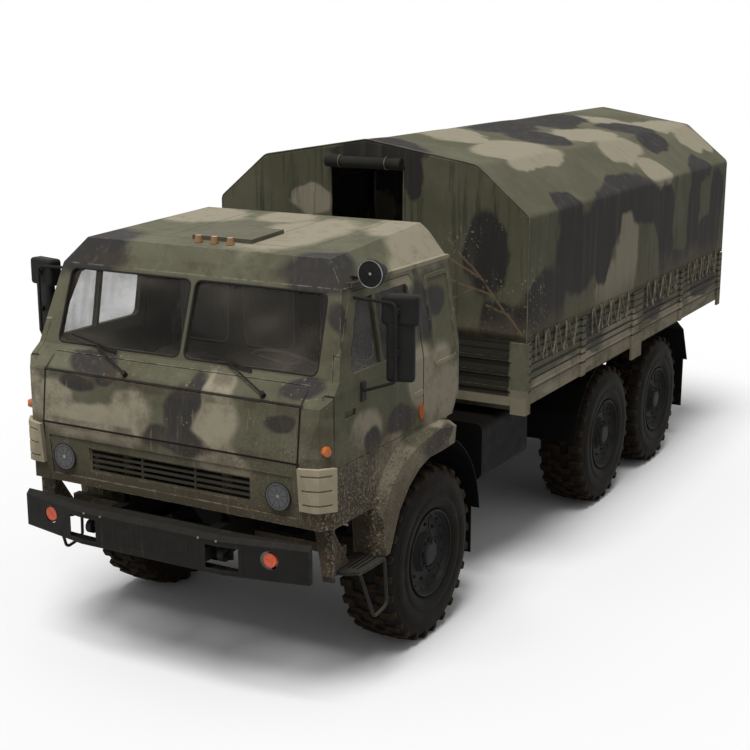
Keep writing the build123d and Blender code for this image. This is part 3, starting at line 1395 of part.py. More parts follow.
# Load bed floor on its bearers and long sills
floor_low_z = bed_floor_z - bed_floor_thickness
gate_inner_y = bed_rear_y - board_thickness
with BuildPart() as bed_floor:
    with Locations((0, bed_front_y, floor_low_z)):
        Box(2 * bed_half_width, bed_length - board_thickness - gate_gap, bed_floor_thickness,
            align=(Align.CENTER, Align.MIN, Align.MIN))
    bearer_pitch = (last_bearer_y - first_bearer_y) / (bearer_count - 1)
    for row in range(bearer_count):
        with Locations((0, first_bearer_y + row * bearer_pitch, floor_low_z)):
            Box(2 * (bed_half_width - 120 if row in (0, bearer_count - 1) else 560), bearer_width,
                bearer_height / 2,
                align=(Align.CENTER, Align.CENTER, Align.MAX))
    for side in (-1, 1):
        with Locations((side * (rail_outer_x - rail_flange / 2), bed_front_y + 40, rail_top_z + fit)):
            Box(rail_flange, rail_rear_y - bed_front_y - 60, floor_low_z - rail_top_z - fit,
                align=(Align.CENTER, Align.MIN, Align.MIN))
    # Rear sill under the tailgate with the lugs that hold its hinge pins.
    sill_top_z = bed_floor_z - gate_skirt - gate_gap
    with Locations((0, gate_inner_y - gate_gap, floor_low_z)):
        Box(2 * bed_half_width, board_thickness + gate_gap, sill_top_z - floor_low_z,
            align=(Align.CENTER, Align.MIN, Align.MIN))
    for middle_x in gate_hinge_x:
        for side in (-1, 1):
            with BuildSketch(Plane.YZ.offset(middle_x + side * (gate_knuckle / 2 + fit + gate_lug / 2) - gate_lug / 2)):
                with BuildLine():
                    Polyline((bed_rear_y - 30, floor_low_z), (gate_hinge_y + gate_eye_radius, floor_low_z),
                             (gate_hinge_y + gate_eye_radius,
                              gate_hinge_z), (gate_hinge_y - gate_eye_radius, gate_hinge_z),
                             (gate_hinge_y - gate_eye_radius, sill_top_z), (bed_rear_y - 30,
                                                                            sill_top_z), close=True)
                make_face()
                with Locations((gate_hinge_y, gate_hinge_z)):
                    Circle(gate_eye_radius)
                    Circle(gate_pin_radius + fit, mode=Mode.SUBTRACT)
            extrude(amount=gate_lug)
keep(bed_floor.part, "bed_floor")

# Bed boards: front board and both sides with their outer posts
board_height = board_top_z - bed_floor_z
with BuildPart() as bed_boards:
    with Locations((0, bed_front_y, bed_floor_z)):
        Box(2 * bed_half_width, board_thickness, board_height, align=(Align.CENTER, Align.MIN, Align.MIN))
    for side in (-1, 1):
        with Locations((side * (bed_half_width - board_thickness / 2), bed_front_y, bed_floor_z)):
            Box(board_thickness, bed_length, board_height, align=(Align.CENTER, Align.MIN, Align.MIN))
        for offset_y, width, foot_z in bed_posts:
            with Locations((side * bed_half_width, bed_front_y + offset_y, foot_z)):
                Box(bed_post_depth, width, canvas_bottom_z - foot_z - panel_gap,
                    align=(Align.MIN if side > 0 else Align.MAX, Align.CENTER, Align.MIN))
        with Locations((side * (bed_half_width + bed_post_depth), bed_front_y, bed_posts[0][2])):
            Box(*corner_post, canvas_bottom_z - bed_posts[0][2] - panel_gap,
                align=(Align.MAX if side > 0 else Align.MIN, Align.MAX, Align.MIN))
        for rib_z in board_ribs:
            with Locations((side * bed_half_width, bed_front_y, rib_z)):
                Box(board_rib[0], bed_length, board_rib[1],
                    align=(Align.MIN if side > 0 else Align.MAX, Align.MIN, Align.CENTER))
    with Locations(*[(0, bed_front_y, rib_z) for rib_z in board_ribs]):
        Box(2 * bed_half_width, board_rib[0], board_rib[1], align=(Align.CENTER, Align.MAX, Align.CENTER))
keep(bed_boards.part, "bed_boards")

# Tailgate between the side boards, hinged on pins under its outer face
with BuildPart() as tailgate:
    with Locations((0, gate_inner_y, bed_floor_z - gate_skirt)):
        Box(2 * (bed_half_width - board_thickness - gate_gap), board_thickness, board_height + gate_skirt,
            align=(Align.CENTER, Align.MIN, Align.MIN))
    for middle_x in gate_hinge_x:
        with BuildSketch(Plane.YZ.offset(middle_x - gate_knuckle / 2)):
            with Locations((gate_hinge_y, gate_hinge_z)):
                Circle(gate_eye_radius)
            with Locations(((bed_rear_y + gate_hinge_y) / 2, gate_hinge_z + gate_eye_radius / 2)):
                Rectangle(gate_hinge_y - bed_rear_y, gate_eye_radius)
        extrude(amount=gate_knuckle)
        with BuildSketch(Plane.YZ.offset(middle_x - gate_knuckle / 2 - gate_lug)):
            with Locations((gate_hinge_y, gate_hinge_z)):
                Circle(gate_pin_radius)
        extrude(amount=gate_knuckle + 2 * gate_lug)
keep(tailgate.part, "tailgate")

# Canvas cover, its bows and the side benches
canvas_outline = ((canvas_half_width, canvas_bottom_z), (canvas_half_width, eave_z),
                  (shoulder_x, shoulder_z),
                  (0, ridge_z), (-shoulder_x, shoulder_z), (-canvas_half_width, eave_z),
                  (-canvas_half_width, canvas_bottom_z))


def canvas_section(y, inset, open_foot=0):
    with BuildSketch(section_at(y)) as section:
        with BuildLine():
            Polyline(*canvas_outline, close=True)
        make_face()
        if inset:
            offset(amount=-inset, kind=Kind.INTERSECTION)
        if open_foot:
            with Locations((0, canvas_bottom_z)):
                Rectangle(2 * (canvas_half_width - inset), 2 * open_foot)
    return section.sketch


with BuildPart() as canvas_cover:
    extrude(canvas_section(bed_rear_y, 0), amount=bed_length)
    extrude(canvas_section(bed_rear_y - 1, canvas_thickness, 2 * canvas_thickness), amount=bed_length - 2,
            mode=Mode.SUBTRACT)
    extrude(canvas_section(bed_rear_y, canvas_thickness, 2 * canvas_thickness), amount=bed_length,
            mode=Mode.SUBTRACT)
keep(canvas_cover.part, "canvas_cover")

end_foot_z = board_top_z + fit
with BuildPart() as canvas_ends:
    for end_y in (bed_front_y + canvas_thickness, bed_rear_y):
        extrude(canvas_section(end_y, canvas_thickness), amount=canvas_thickness)
    with Locations((0, (bed_front_y + bed_rear_y) / 2, canvas_bottom_z)):
        Box(4 * canvas_half_width, 2 * bed_length, end_foot_z - canvas_bottom_z,
            align=(Align.CENTER, Align.CENTER, Align.MIN), mode=Mode.SUBTRACT)
    with Locations((0, bed_front_y, front_window_z[0])):
        Box(2 * front_window_half, 4 * canvas_thickness, front_window_z[1] - front_window_z[0],
            align=(Align.CENTER, Align.CENTER, Align.MIN), mode=Mode.SUBTRACT)
    with Locations((0, bed_rear_y, end_foot_z)):
        Box(2 * rear_opening_half, 4 * canvas_thickness, rear_opening_top_z - end_foot_z,
            align=(Align.CENTER, Align.CENTER, Align.MIN), mode=Mode.SUBTRACT)
    for curtain_half, curtain_y, curtain_z in (
            (front_window_half + 20, bed_front_y - curtain_radius - fit,
             front_window_z[1] + curtain_radius),
            (rear_opening_half, bed_rear_y - canvas_thickness - curtain_radius - fit,
             rear_opening_top_z + curtain_radius)):
        with BuildSketch(Plane.YZ.offset(-curtain_half)):
            with Locations((curtain_y, curtain_z)):
                Circle(curtain_radius)
        extrude(amount=2 * curtain_half)
keep(canvas_ends.part, "canvas_ends")

with BuildPart() as canvas_bows:
    for offset_y in bow_offsets:
        bow_y = bed_front_y + offset_y + bow_size / 2
        extrude(canvas_section(bow_y, canvas_thickness + fit), amount=bow_size)
        extrude(canvas_section(bow_y, canvas_thickness + fit + bow_size, 2 * bow_size), amount=bow_size,
                mode=Mode.SUBTRACT)
    with Locations((0, (bed_front_y + bed_rear_y) / 2, canvas_bottom_z - 100)):
        Box(4 * canvas_half_width, 2 * bed_length, board_top_z + fit - canvas_bottom_z + 100,
            align=(Align.CENTER, Align.CENTER, Align.MIN), mode=Mode.SUBTRACT)
    slat_length = bow_offsets[-1] - bow_offsets[0]
    with Locations((0, bed_front_y + bow_offsets[0], ridge_z - 2 * canvas_thickness - 1.2 * bow_size)):
        Box(bow_size, slat_length, bow_size, align=(Align.CENTER, Align.MIN, Align.CENTER))
keep(canvas_bows.part, "canvas_bows")

bench_inner_x = bed_half_width - board_thickness - fit
with BuildPart() as benches:
    for side in (-1, 1):
        with Locations((side * bench_inner_x, bed_front_y + board_thickness + fit, bench_z)):
            Box(bench_depth, bed_length - 2 * board_thickness - 60, bench_thickness,
                align=(Align.MAX if side > 0 else Align.MIN, Align.MIN, Align.MAX))
        for offset_y in bow_offsets:
            with Locations((side * (bench_inner_x - bench_depth + 40), bed_front_y + offset_y + bow_size,
                            bed_floor_z + fit)):
                Box(40, 40, bench_z - bench_thickness - bed_floor_z - fit,
                    align=(Align.CENTER, Align.CENTER, Align.MIN))
keep(benches.part, "benches")

os.makedirs("parts", exist_ok=True)
for name, part in pieces.items():
    export_step(part, "parts/" + name + ".step")
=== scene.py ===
import bpy
import bmesh
import math
from mathutils import Euler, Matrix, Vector, noise


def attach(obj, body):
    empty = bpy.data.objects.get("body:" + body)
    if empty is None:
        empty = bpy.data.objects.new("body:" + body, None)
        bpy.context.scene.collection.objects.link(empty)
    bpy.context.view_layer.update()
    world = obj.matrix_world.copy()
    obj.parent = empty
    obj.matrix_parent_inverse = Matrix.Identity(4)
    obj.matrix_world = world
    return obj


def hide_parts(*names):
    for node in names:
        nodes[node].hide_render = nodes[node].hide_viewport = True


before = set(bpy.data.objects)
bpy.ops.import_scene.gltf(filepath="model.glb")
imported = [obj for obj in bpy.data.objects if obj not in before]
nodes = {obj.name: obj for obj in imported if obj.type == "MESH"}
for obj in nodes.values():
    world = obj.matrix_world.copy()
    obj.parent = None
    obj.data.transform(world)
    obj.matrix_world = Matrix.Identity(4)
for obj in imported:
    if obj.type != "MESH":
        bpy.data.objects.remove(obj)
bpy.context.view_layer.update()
print("frame loaded")

# places that many pieces share, in metres: the truck faces -Y, +X is its left
truck = {"frontAxle": -2.405, "middleAxle": 0.935, "rearAxle": 2.325, "axleHeight": 0.610, "wheelX": 1.035,
         "bedFront": -1.139, "bedRear": 3.879, "bedLength": 5.018, "bows": (0.105, 1.165, 2.460, 3.715, 4.915),
         "posts": (0.04, 1.15, 2.445, 3.70, 4.97)}
wheels = {"front_left": (1, "frontAxle"), "front_right": (-1, "frontAxle"), "middle_left": (1, "middleAxle"),
          "middle_right": (-1, "middleAxle"), "rear_left": (1, "rearAxle"), "rear_right": (-1, "rearAxle")}


def linked(name, data):
    made = bpy.data.objects.new(name, data)
    bpy.context.scene.collection.objects.link(made)
    return made


# ---- camera
view = {"place": (5.3506, -10.5019, 4.0904), "turn": 0.5135, "dip": -0.241, "lens": 67.94}
aim = Vector((-math.sin(view["turn"]) * math.cos(view["dip"]), math.cos(view["turn"]) * math.cos(view["dip"]),
              math.sin(view["dip"])))
camera = linked("truckCamera", bpy.data.cameras.new("truckCamera"))
camera.data.lens = view["lens"]
camera.location = view["place"]
camera.rotation_euler = aim.to_track_quat("-Z", "Y").to_euler()
bpy.context.scene.camera = camera
bpy.context.scene.view_settings.view_transform = "Standard"


class Wire:
    # a node socket that takes part in plain Python sums
    def __init__(self, tree, socket=None):
        self.tree = tree
        self.socket = socket

    def node(self, kind, settings=None, inputs=None, out=0):
        made = self.tree.nodes.new(kind)
        for name, value in (settings or {}).items():
            setattr(made, name, value)
        for name, value in (inputs or {}).items():
            if isinstance(value, Wire):
                self.tree.links.new(value.socket, made.inputs[name])
            else:
                made.inputs[name].default_value = value
        return Wire(self.tree, made.outputs[out])

    def maths(self, operation, *values):
        return self.node("ShaderNodeMath", {"operation": operation}, dict(enumerate(values)))

    def __add__(self, other):
        return self.maths("ADD", self, other)

    def __radd__(self, other):
        return self.maths("ADD", other, self)

    def __sub__(self, other):
        return self.maths("SUBTRACT", self, other)

    def __rsub__(self, other):
        return self.maths("SUBTRACT", other, self)

    def __mul__(self, other):
        return self.maths("MULTIPLY", self, other)

    def __abs__(self):
        return self.maths("ABSOLUTE", self)

    def most(self, other):
        return self.maths("MAXIMUM", self, other)

    def rise(self, low, high):      # 0 below low, 1 above high, smooth between
        return self.node("ShaderNodeMapRange", {"interpolation_type": "SMOOTHSTEP"},
                         {"Value": self, "From Min": low, "From Max": high})

    def fall(self, low, high):      # 1 below low, 0 above high
        return 1 - self.rise(low, high)

    def line(self, place, width):   # 1 within half a width of place, 0 beyond a width
        return abs(self - place).fall(width * 0.5, width)

    def vector(self, operation, other=(0, 0, 0), out=0):
        return self.node("ShaderNodeVectorMath", {"operation": operation}, {0: self, 1: other}, out)

    def part(self, axis):
        return self.node("ShaderNodeSeparateXYZ", None, {0: self}, axis)

    def cloud(self, scale, detail=3.0, rough=0.5, stretch=None, out=0):
        at = self if stretch is None else self.vector("MULTIPLY", stretch)
        return at.node("ShaderNodeTexNoise", None, {"Vector": at, "Scale": scale, "Detail": detail,
                                                    "Roughness": rough}, out)

    def blots(self, low, high, *cloud):     # where a cloud of these settings rises from low to high
        return self.cloud(*cloud).rise(low, high)

    def warped(self, scale, amount):
        push = self.cloud(scale, 2.0, 0.5, None, 1).vector("SUBTRACT", (0.5, 0.5, 0.5))
        return self.vector("ADD", push.vector("MULTIPLY", (amount, amount, amount)))

    def tint(self, low, high):      # self is the mask
        return self.node("ShaderNodeMix", {"data_type": "RGBA"}, {0: self, 6: low, 7: high}, 2)


def rgb(*parts):
    return (*parts, 1.0)


# one dark brown tone serves for mud and also for painted shade along the hood flap
tones = {"green": rgb(0.100, 0.098, 0.060), "paleGreen": rgb(0.138, 0.134, 0.088), "dark": rgb(0.034, 0.031, 0.029),
         "khaki": rgb(0.320, 0.286, 0.206), "dust": rgb(0.30, 0.25, 0.17), "mud": rgb(0.060, 0.044, 0.028),
         "rust": rgb(0.23, 0.140, 0.080)}


def material(name, recipe, fixed=None):
    made = bpy.data.materials.new(name)
    made.use_nodes = True
    made.node_tree.nodes.clear()
    at = Wire(made.node_tree).node("ShaderNodeTexCoord", out="Object")
    shader = at.node("ShaderNodeBsdfPrincipled", None, {**(fixed or {}), **recipe(at)})
    output = made.node_tree.nodes.new("ShaderNodeOutputMaterial")
    made.node_tree.links.new(shader.socket, output.inputs["Surface"])
    return made


def coated(colour, *coats):
    # lays coats over a colour, each one a mask, how much of it shows, and a tone
    for mask, amount, tone in coats:
        colour = (mask * amount).tint(colour, tones[tone] if isinstance(tone, str) else rgb(*tone))
    return colour


def topmost(masks):
    made = masks[0]
    for mask in masks[1:]:
        made = made.most(mask)
    return made


def bump(height, strength, distance):
    return height.node("ShaderNodeBump", None, {"Height": height, "Strength": strength, "Distance": distance})


def upFacing(at):
    return at.node("ShaderNodeNewGeometry", out="Normal").part(2)


def edgeChips(at, radius, low, high, scale):
    # worn edges: where a rounded normal leaves the flat one, broken up by a cloud
    soft = at.node("ShaderNodeBevel", {"samples": 4}, {"Radius": radius})
    flat = at.node("ShaderNodeNewGeometry", out="Normal")
    edge = (1 - soft.vector("DOT_PRODUCT", flat, "Value")).rise(0.02, 0.16)
    return edge * at.blots(low, high, scale, 4.0, 0.7)


def patchMask(at, patches, wobble, soft):
    near = None
    for centre, size in patches:
        far = at.vector("SUBTRACT", centre).vector("DIVIDE", size).vector("LENGTH", out="Value")
        near = far if near is None else at.maths("SMOOTH_MIN", near, far, 0.45)
    return (near + wobble).fall(1.0 - soft, 1.0 + soft)


def stroke(at, start, end, width):
    # a thin line from start to end, seen along Y
    start, run = Vector(start), Vector(end) - Vector(start)
    run.y = 0.0
    local = at.vector("SUBTRACT", tuple(start)).vector("MULTIPLY", (1, 0, 1))
    along = local.vector("DOT_PRODUCT", tuple(run / run.length_squared), "Value")
    along = along.node("ShaderNodeClamp", None, {0: along})
    alike = along.node("ShaderNodeCombineXYZ", None, {0: along, 1: along, 2: along})
    scaled = alike.vector("MULTIPLY", tuple(run))
    return local.vector("DISTANCE", scaled, "Value").fall(width * 0.5, width)


# ---- camouflage: soft patches of khaki and near-black on grey-green, as (middle, half size)
def sidePatches(x, halfX, *rows):       # rows of (along, high, half along, half high) at one place across
    return [((x, y, z), (halfX, halfY, halfZ)) for y, z, halfY, halfZ in rows]


def facePatches(y, halfY, *rows):       # rows of (across, high, half across, half high) at one place along
    return [((x, y, z), (halfX, halfY, halfZ)) for x, z, halfX, halfZ in rows]


cabPatches = {
    "khaki": facePatches(-3.67, 0.4, (-0.90, 1.76, 0.13, 0.12), (-0.27, 1.70, 0.18, 0.17),
                         (-0.60, 1.60, 0.44, 0.12), (0.35, 1.74, 0.19, 0.21))
    + [((0.38, -3.67, 1.94), (0.11, 0.3, 0.15)), ((-1.10, -3.60, 1.75), (0.10, 0.3, 0.17)),
       ((0.46, -3.67, 1.50), (0.20, 0.3, 0.11)), ((0.31, -2.62, 2.76), (0.32, 0.58, 0.2)),
       ((-0.10, -2.10, 2.78), (0.22, 0.20, 0.2)), ((0.86, -2.15, 2.76), (0.26, 0.34, 0.2)),
       ((-0.70, -2.25, 2.76), (0.32, 0.30, 0.2)), ((1.04, -2.20, 2.68), (0.22, 0.40, 0.17))]
    + sidePatches(1.18, 0.3, (-2.60, 2.52, 0.15, 0.14), (-2.50, 1.88, 0.15, 0.20), (-2.20, 1.72, 0.28, 0.28),
                    (-3.20, 1.68, 0.19, 0.13), (-2.90, 1.50, 0.16, 0.09))
    + sidePatches(1.24, 0.3, (-2.86, 1.28, 0.32, 0.22), (-2.98, 1.02, 0.18, 0.24), (-2.10, 1.37, 0.13, 0.12))
    + sidePatches(1.33, 0.2, (-0.3, 1.46, 0.70, 0.10), (0.9, 1.55, 0.45, 0.16), (2.6, 1.48, 0.9, 0.10))
    + [((-0.3, 3.9, 1.6), (0.4, 0.3, 0.25))],
    "dark": facePatches(-3.67, 0.3, (-0.73, 1.87, 0.13, 0.06), (-0.52, 1.92, 0.08, 0.06),
                        (-0.66, 1.99, 0.16, 0.05), (0.12, 1.74, 0.12, 0.19), (0.22, 1.90, 0.07, 0.12),
                        (0.08, 1.56, 0.28, 0.08), (0.86, 1.80, 0.11, 0.06))
    + [((0.93, -3.62, 1.99), (0.15, 0.3, 0.06)), ((-0.90, -3.26, 2.66), (0.34, 0.40, 0.2)),
       ((0.90, -3.32, 2.64), (0.30, 0.30, 0.14))]
    + sidePatches(1.18, 0.3, (-2.40, 2.27, 0.12, 0.21), (-2.20, 2.31, 0.15, 0.10), (-3.14, 1.60, 0.12, 0.11),
                    (-2.76, 1.62, 0.20, 0.09))
    + [((1.24, -2.34, 1.42), (0.3, 0.20, 0.08)), ((1.12, -3.42, 2.42), (0.12, 0.07, 0.14))]
    + sidePatches(1.33, 0.2, (0.25, 1.72, 0.25, 0.14), (1.75, 1.68, 0.3, 0.16), (3.3, 1.62, 0.45, 0.12))
    + [((0.75, 3.9, 1.7), (0.35, 0.3, 0.2))]}
canvasPatches = {
    "khaki": [((-0.48, -1.14, 2.78), (0.20, 0.3, 0.12))]
    + sidePatches(1.34, 0.14, (0.97, 2.34, 0.30, 0.29), (0.66, 1.96, 0.40, 0.25), (0.95, 2.08, 0.30, 0.28),
                    (3.05, 1.86, 0.16, 0.07))
    + [((0.98, -0.10, 3.09), (0.16, 0.54, 0.10)), ((0.75, -0.05, 3.16), (0.32, 0.58, 0.08)),
       ((0.18, 0.05, 3.25), (0.42, 0.38, 0.08)), ((1.10, 1.62, 3.04), (0.28, 0.50, 0.13)),
       ((1.28, 1.90, 2.84), (0.20, 0.30, 0.14)), ((0.72, 1.60, 3.16), (0.32, 0.58, 0.08)),
       ((1.05, 3.60, 3.00), (0.30, 0.38, 0.14)), ((0.45, 2.80, 3.20), (0.32, 0.36, 0.08)),
       ((0.80, 3.35, 3.14), (0.26, 0.52, 0.08)), ((-0.6, 1.0, 3.2), (0.3, 0.9, 0.15)),
       ((0.9, 3.88, 2.5), (0.3, 0.3, 0.4))],
    "dark": [((0.09, -1.14, 3.19), (0.42, 0.30, 0.07)), ((0.40, -1.14, 3.04), (0.10, 0.3, 0.20)),
             ((1.01, -1.14, 2.50), (0.17, 0.2, 0.33)), ((1.13, -1.14, 1.98), (0.18, 0.2, 0.16))]
    + sidePatches(1.34, 0.14, (-0.14, 2.38, 0.44, 0.32), (-0.36, 2.72, 0.22, 0.24), (-0.80, 2.06, 0.38, 0.29),
                    (0.45, 2.56, 0.38, 0.30), (0.38, 2.28, 0.20, 0.26))
    + sidePatches(1.34, 0.20, (1.00, 2.74, 0.68, 0.18))
    + sidePatches(1.34, 0.14, (1.48, 2.58, 0.40, 0.18), (1.97, 2.48, 0.24, 0.26), (2.04, 2.16, 0.20, 0.36),
                    (2.40, 1.94, 0.50, 0.15), (2.84, 2.30, 0.19, 0.52), (3.30, 2.02, 0.40, 0.27),
                    (3.58, 2.40, 0.24, 0.34))
    + sidePatches(1.34, 0.20, (3.05, 2.76, 0.34, 0.14))
    + [((1.02, 2.52, 3.04), (0.22, 0.34, 0.12)), ((0.60, 0.85, 3.18), (0.32, 0.32, 0.08)),
       ((0.15, 1.05, 3.26), (0.34, 0.52, 0.08)), ((0.20, 2.10, 3.25), (0.34, 0.64, 0.08)),
       ((0.70, 2.62, 3.16), (0.28, 0.38, 0.08)), ((0.10, -1.05, 3.25), (0.30, 0.24, 0.08)),
       ((-0.7, 2.6, 3.1), (0.4, 0.6, 0.2)), ((-0.5, 3.88, 2.8), (0.4, 0.3, 0.3))]}
for patches in (cabPatches, canvasPatches):     # the far side carries the same kind of patches, further back
    for spots in patches.values():
        spots += [((-x, y + 0.5, z), size) for (x, y, z), size in spots if x > 1.0]


def camouflage(at, patches, soft):
    warped = at.warped(2.7, 0.20)
    wobble = (at.cloud(9.0, 4.0, 0.6) - 0.5) * 0.34
    green = at.blots(0.38, 0.66, 1.3, 4.0, 0.6).tint(tones["green"], tones["paleGreen"])
    khaki = patchMask(warped, patches["khaki"], wobble, soft)
    dark = patchMask(warped, patches["dark"], wobble, soft)
    return dark.tint(khaki.tint(green, tones["khaki"]), tones["dark"])


# lines drawn on the cab's paint: the hood flap's outline, the door's cut and the roof's seams
drawn = {"hoodTop": 1.9065, "hoodFoot": 1.5605, "hoodHalf": 0.9925, "hoodMiddle": 1.733, "hoodTall": 0.345,
         "doorEnds": (-3.600, -2.455), "doorMiddle": 2.03, "doorTall": 0.51, "roofSeams": (0.21, 0.66, -0.46),
         "roofCross": -3.02}


def bodyPaint(at):
    side, along, high = at.part(0), at.part(1), at.part(2)
    grime = at.cloud(2.2, 5.0, 0.65)
    colour = coated(
        camouflage(at, cabPatches, 0.20), (at.blots(0.50, 0.80, 1.0, 5.0, 0.65, (26, 26, 1.6)), 0.22, "dust"),
        ((high + (grime - 0.5) * 1.3).fall(1.05, 1.66), 0.84, "mud"),
        (grime.rise(0.50, 0.68) * high.fall(2.50, 2.62), 0.62, "mud"))
    splash = at.blots(0.42, 0.60, 1.4, 3.0, 0.6) * high.fall(1.35, 1.95)
    corner = abs(side).rise(1.08, 1.14) * high.fall(1.42, 1.62) * along.fall(-3.15, -3.0)
    veins = abs(at.cloud(7.0, 4.0, 0.55) - 0.5).fall(0.004, 0.014)
    colour = coated(
        colour, (at.blots(0.56, 0.62, 60.0, 3.0, 0.6) * splash, 0.90, "mud"),
        (at.blots(0.61, 0.66, 85.0, 2.0, 0.6) * splash, 0.80, "dust"),
        (at.blots(0.71, 0.74, 38.0, 2.0, 0.5) * high.fall(2.0, 2.3), 0.75, "dust"),
        (corner * at.blots(0.44, 0.54, 30.0, 4.0, 0.7), 0.85, (0.030, 0.024, 0.017)),
        (corner * at.blots(0.56, 0.61, 55.0, 3.0, 0.6), 0.85, "dust"),
        (high.line(2.600, 0.055) * grime.rise(0.42, 0.60) * along.fall(-3.10, -3.0), 0.55, (0.060, 0.042, 0.026)),
        (at.blots(0.66, 0.70, 1.0, 3.0, 0.5, (34, 34, 1.1)) * high.fall(1.95, 2.05), 0.35, (0.30, 0.24, 0.16)),
        (veins * at.blots(0.50, 0.58, 4.0, 2.0) * high.fall(1.50, 1.62), 0.65, "rust"),
        (at.blots(0.50, 0.66, 9.0, 6.0, 0.75), 0.30, (0.050, 0.043, 0.030)),
        (edgeChips(at, 0.009, 0.42, 0.60, 14.0), 0.75, (0.33, 0.29, 0.21)))
    face = along.fall(-3.60, -3.56)
    joints = topmost([high.line(drawn[end], 0.010) for end in ("hoodTop", "hoodFoot")]) * abs(side).fall(1.00, 1.02)
    upright = abs(side).line(drawn["hoodHalf"], 0.010) * high.line(drawn["hoodMiddle"], drawn["hoodTall"])
    cut = abs(side).rise(1.10, 1.12) * topmost([along.line(end, 0.008) for end in drawn["doorEnds"]])
    joints = (joints.most(upright) * face).most(cut * high.line(drawn["doorMiddle"], drawn["doorTall"]))
    # painted shade: darker bands just under the hood flap's top edge and just above its foot, broken up by blots
    shade = high.line(drawn["hoodTop"] - 0.02, 0.05).most(high.line(drawn["hoodFoot"] + 0.01, 0.045)) * face
    seams = topmost([side.line(place, 0.006) for place in drawn["roofSeams"]]) * along.rise(-3.01, -3.00)
    roof = high.rise(2.66, 2.70) * upFacing(at).rise(0.8, 0.95)
    seams = seams.most(along.line(drawn["roofCross"], 0.006)) * roof
    relief = at.cloud(150.0, 2.0) * 0.25 + at.cloud(5.0, 2.0) * 1.2 - seams * 1.5
    return {"Base Color": coated(colour, (shade * at.blots(0.35, 0.60, 6.0, 5.0, 0.7), 0.55, "mud"),
                                 (joints, 0.92, (0.006, 0.005, 0.004)), (seams, 0.7, "dark")),
            "Roughness": 0.66 + at.cloud(5.0, 4.0) * 0.22, "Normal": bump(relief - joints * 2.0, 0.14, 0.004)}


planks = {"gaps": (1.465, 1.540, 1.597, 1.655, 1.712, 1.768, 1.822), "gapWide": 0.011,
          "postInside": (1.205, 1.215), "frontFace": (-1.115, -1.100), "sillTop": (1.415, 1.425)}


def boardPaint(at):
    side, along, high = abs(at.part(0)), at.part(1), at.part(2)
    grain = at.blots(0.40, 0.75, 1.0, 4.0, 0.6, (60, 1.2, 60))
    front, post = along.fall(*planks["frontFace"]), side.rise(*planks["postInside"])
    gaps = topmost([high.line(height, planks["gapWide"]) for height in planks["gaps"]]) * (1 - post * front)
    shade = high.rise(1.700, 1.840) * along.fall(3.80, 3.86) * side.rise(1.32, 1.33)
    sill = high.fall(*planks["sillTop"]) * at.blots(0.30, 0.52, 5.0, 4.0, 0.6) * along.fall(-1.10, -1.05)
    colour = coated(
        camouflage(at, cabPatches, 0.14), (grain, 0.45, (0.215, 0.186, 0.130)),
        (high.fall(1.470, 1.485) * at.blots(0.30, 0.55, 4.0, 4.0, 0.6), 0.7, (0.250, 0.216, 0.150)),
        (gaps, 0.96, (0.010, 0.009, 0.007)),
        (shade * at.blots(0.35, 0.60, 8.0, 4.0, 0.7), 0.35, (0.016, 0.015, 0.010)),
        (at.blots(0.48, 0.70, 3.5, 5.0, 0.7), 0.62, "mud"), (sill, 0.75, (0.260, 0.225, 0.155)),
        (front * side.fall(*planks["postInside"]) * high.rise(*planks["sillTop"]), 0.86, (0.011, 0.0105, 0.007)),
        (edgeChips(at, 0.006, 0.45, 0.60, 20.0), 0.45, (0.30, 0.26, 0.19)))
    return {"Base Color": colour, "Roughness": 0.74 + at.cloud(9.0) * 0.2,
            "Normal": bump(grain * 0.5 + at.cloud(60.0, 3.0) * 0.5 - gaps, 0.25, 0.003)}


def canvasCloth(at):
    side, along, high = at.part(0), at.part(1), at.part(2)
    steep = upFacing(at).fall(0.15, 0.45)
    seeds = at.blots(0.635, 0.665, 42.0, 2.0, 0.5) * at.blots(0.42, 0.58, 2.6, 2.0)
    seeds = seeds * (along + 1.14).fall(0.15, 0.55)
    colour = coated(
        camouflage(at, canvasPatches, 0.11),
        (at.blots(0.48, 0.78, 1.0, 5.0, 0.6, (12, 12, 0.9)), 0.30, (0.170, 0.150, 0.105)),
        (at.blots(0.52, 0.70, 1.0, 5.0, 0.7, (17, 17, 1.0)) * steep, 0.70, (0.028, 0.025, 0.020)),
        # painted shade: every steep face of the cover is darkened evenly
        (steep, 0.14, (0.020, 0.019, 0.014)),
        ((high + (at.cloud(4.0, 4.0, 0.6) - 0.5) * 0.5).fall(1.82, 2.12), 0.50, (0.150, 0.120, 0.078)),
        (seeds * high.fall(2.55, 2.85) * side.rise(0.45, 0.75), 0.80, "dust"),
        (high.line(2.772, 0.006) * steep.rise(0.2, 0.6) * abs(side).rise(1.31, 1.33), 0.45, "khaki"))
    weave = [at.node("ShaderNodeTexWave", {"wave_type": "BANDS", "bands_direction": axis},
                     {"Vector": at, "Scale": 70.0, "Distortion": 0.6}, 1) for axis in ("Y", "Z")]
    folds = at.cloud(1.0, 3.0, 0.5, (7, 7, 0.9))
    return {"Base Color": colour, "Roughness": 0.88 + at.cloud(3.0) * 0.1,
            "Normal": bump((weave[0] + weave[1]) * 0.10 + folds * 1.6 + at.cloud(9.0, 4.0, 0.6), 0.40, 0.006)}


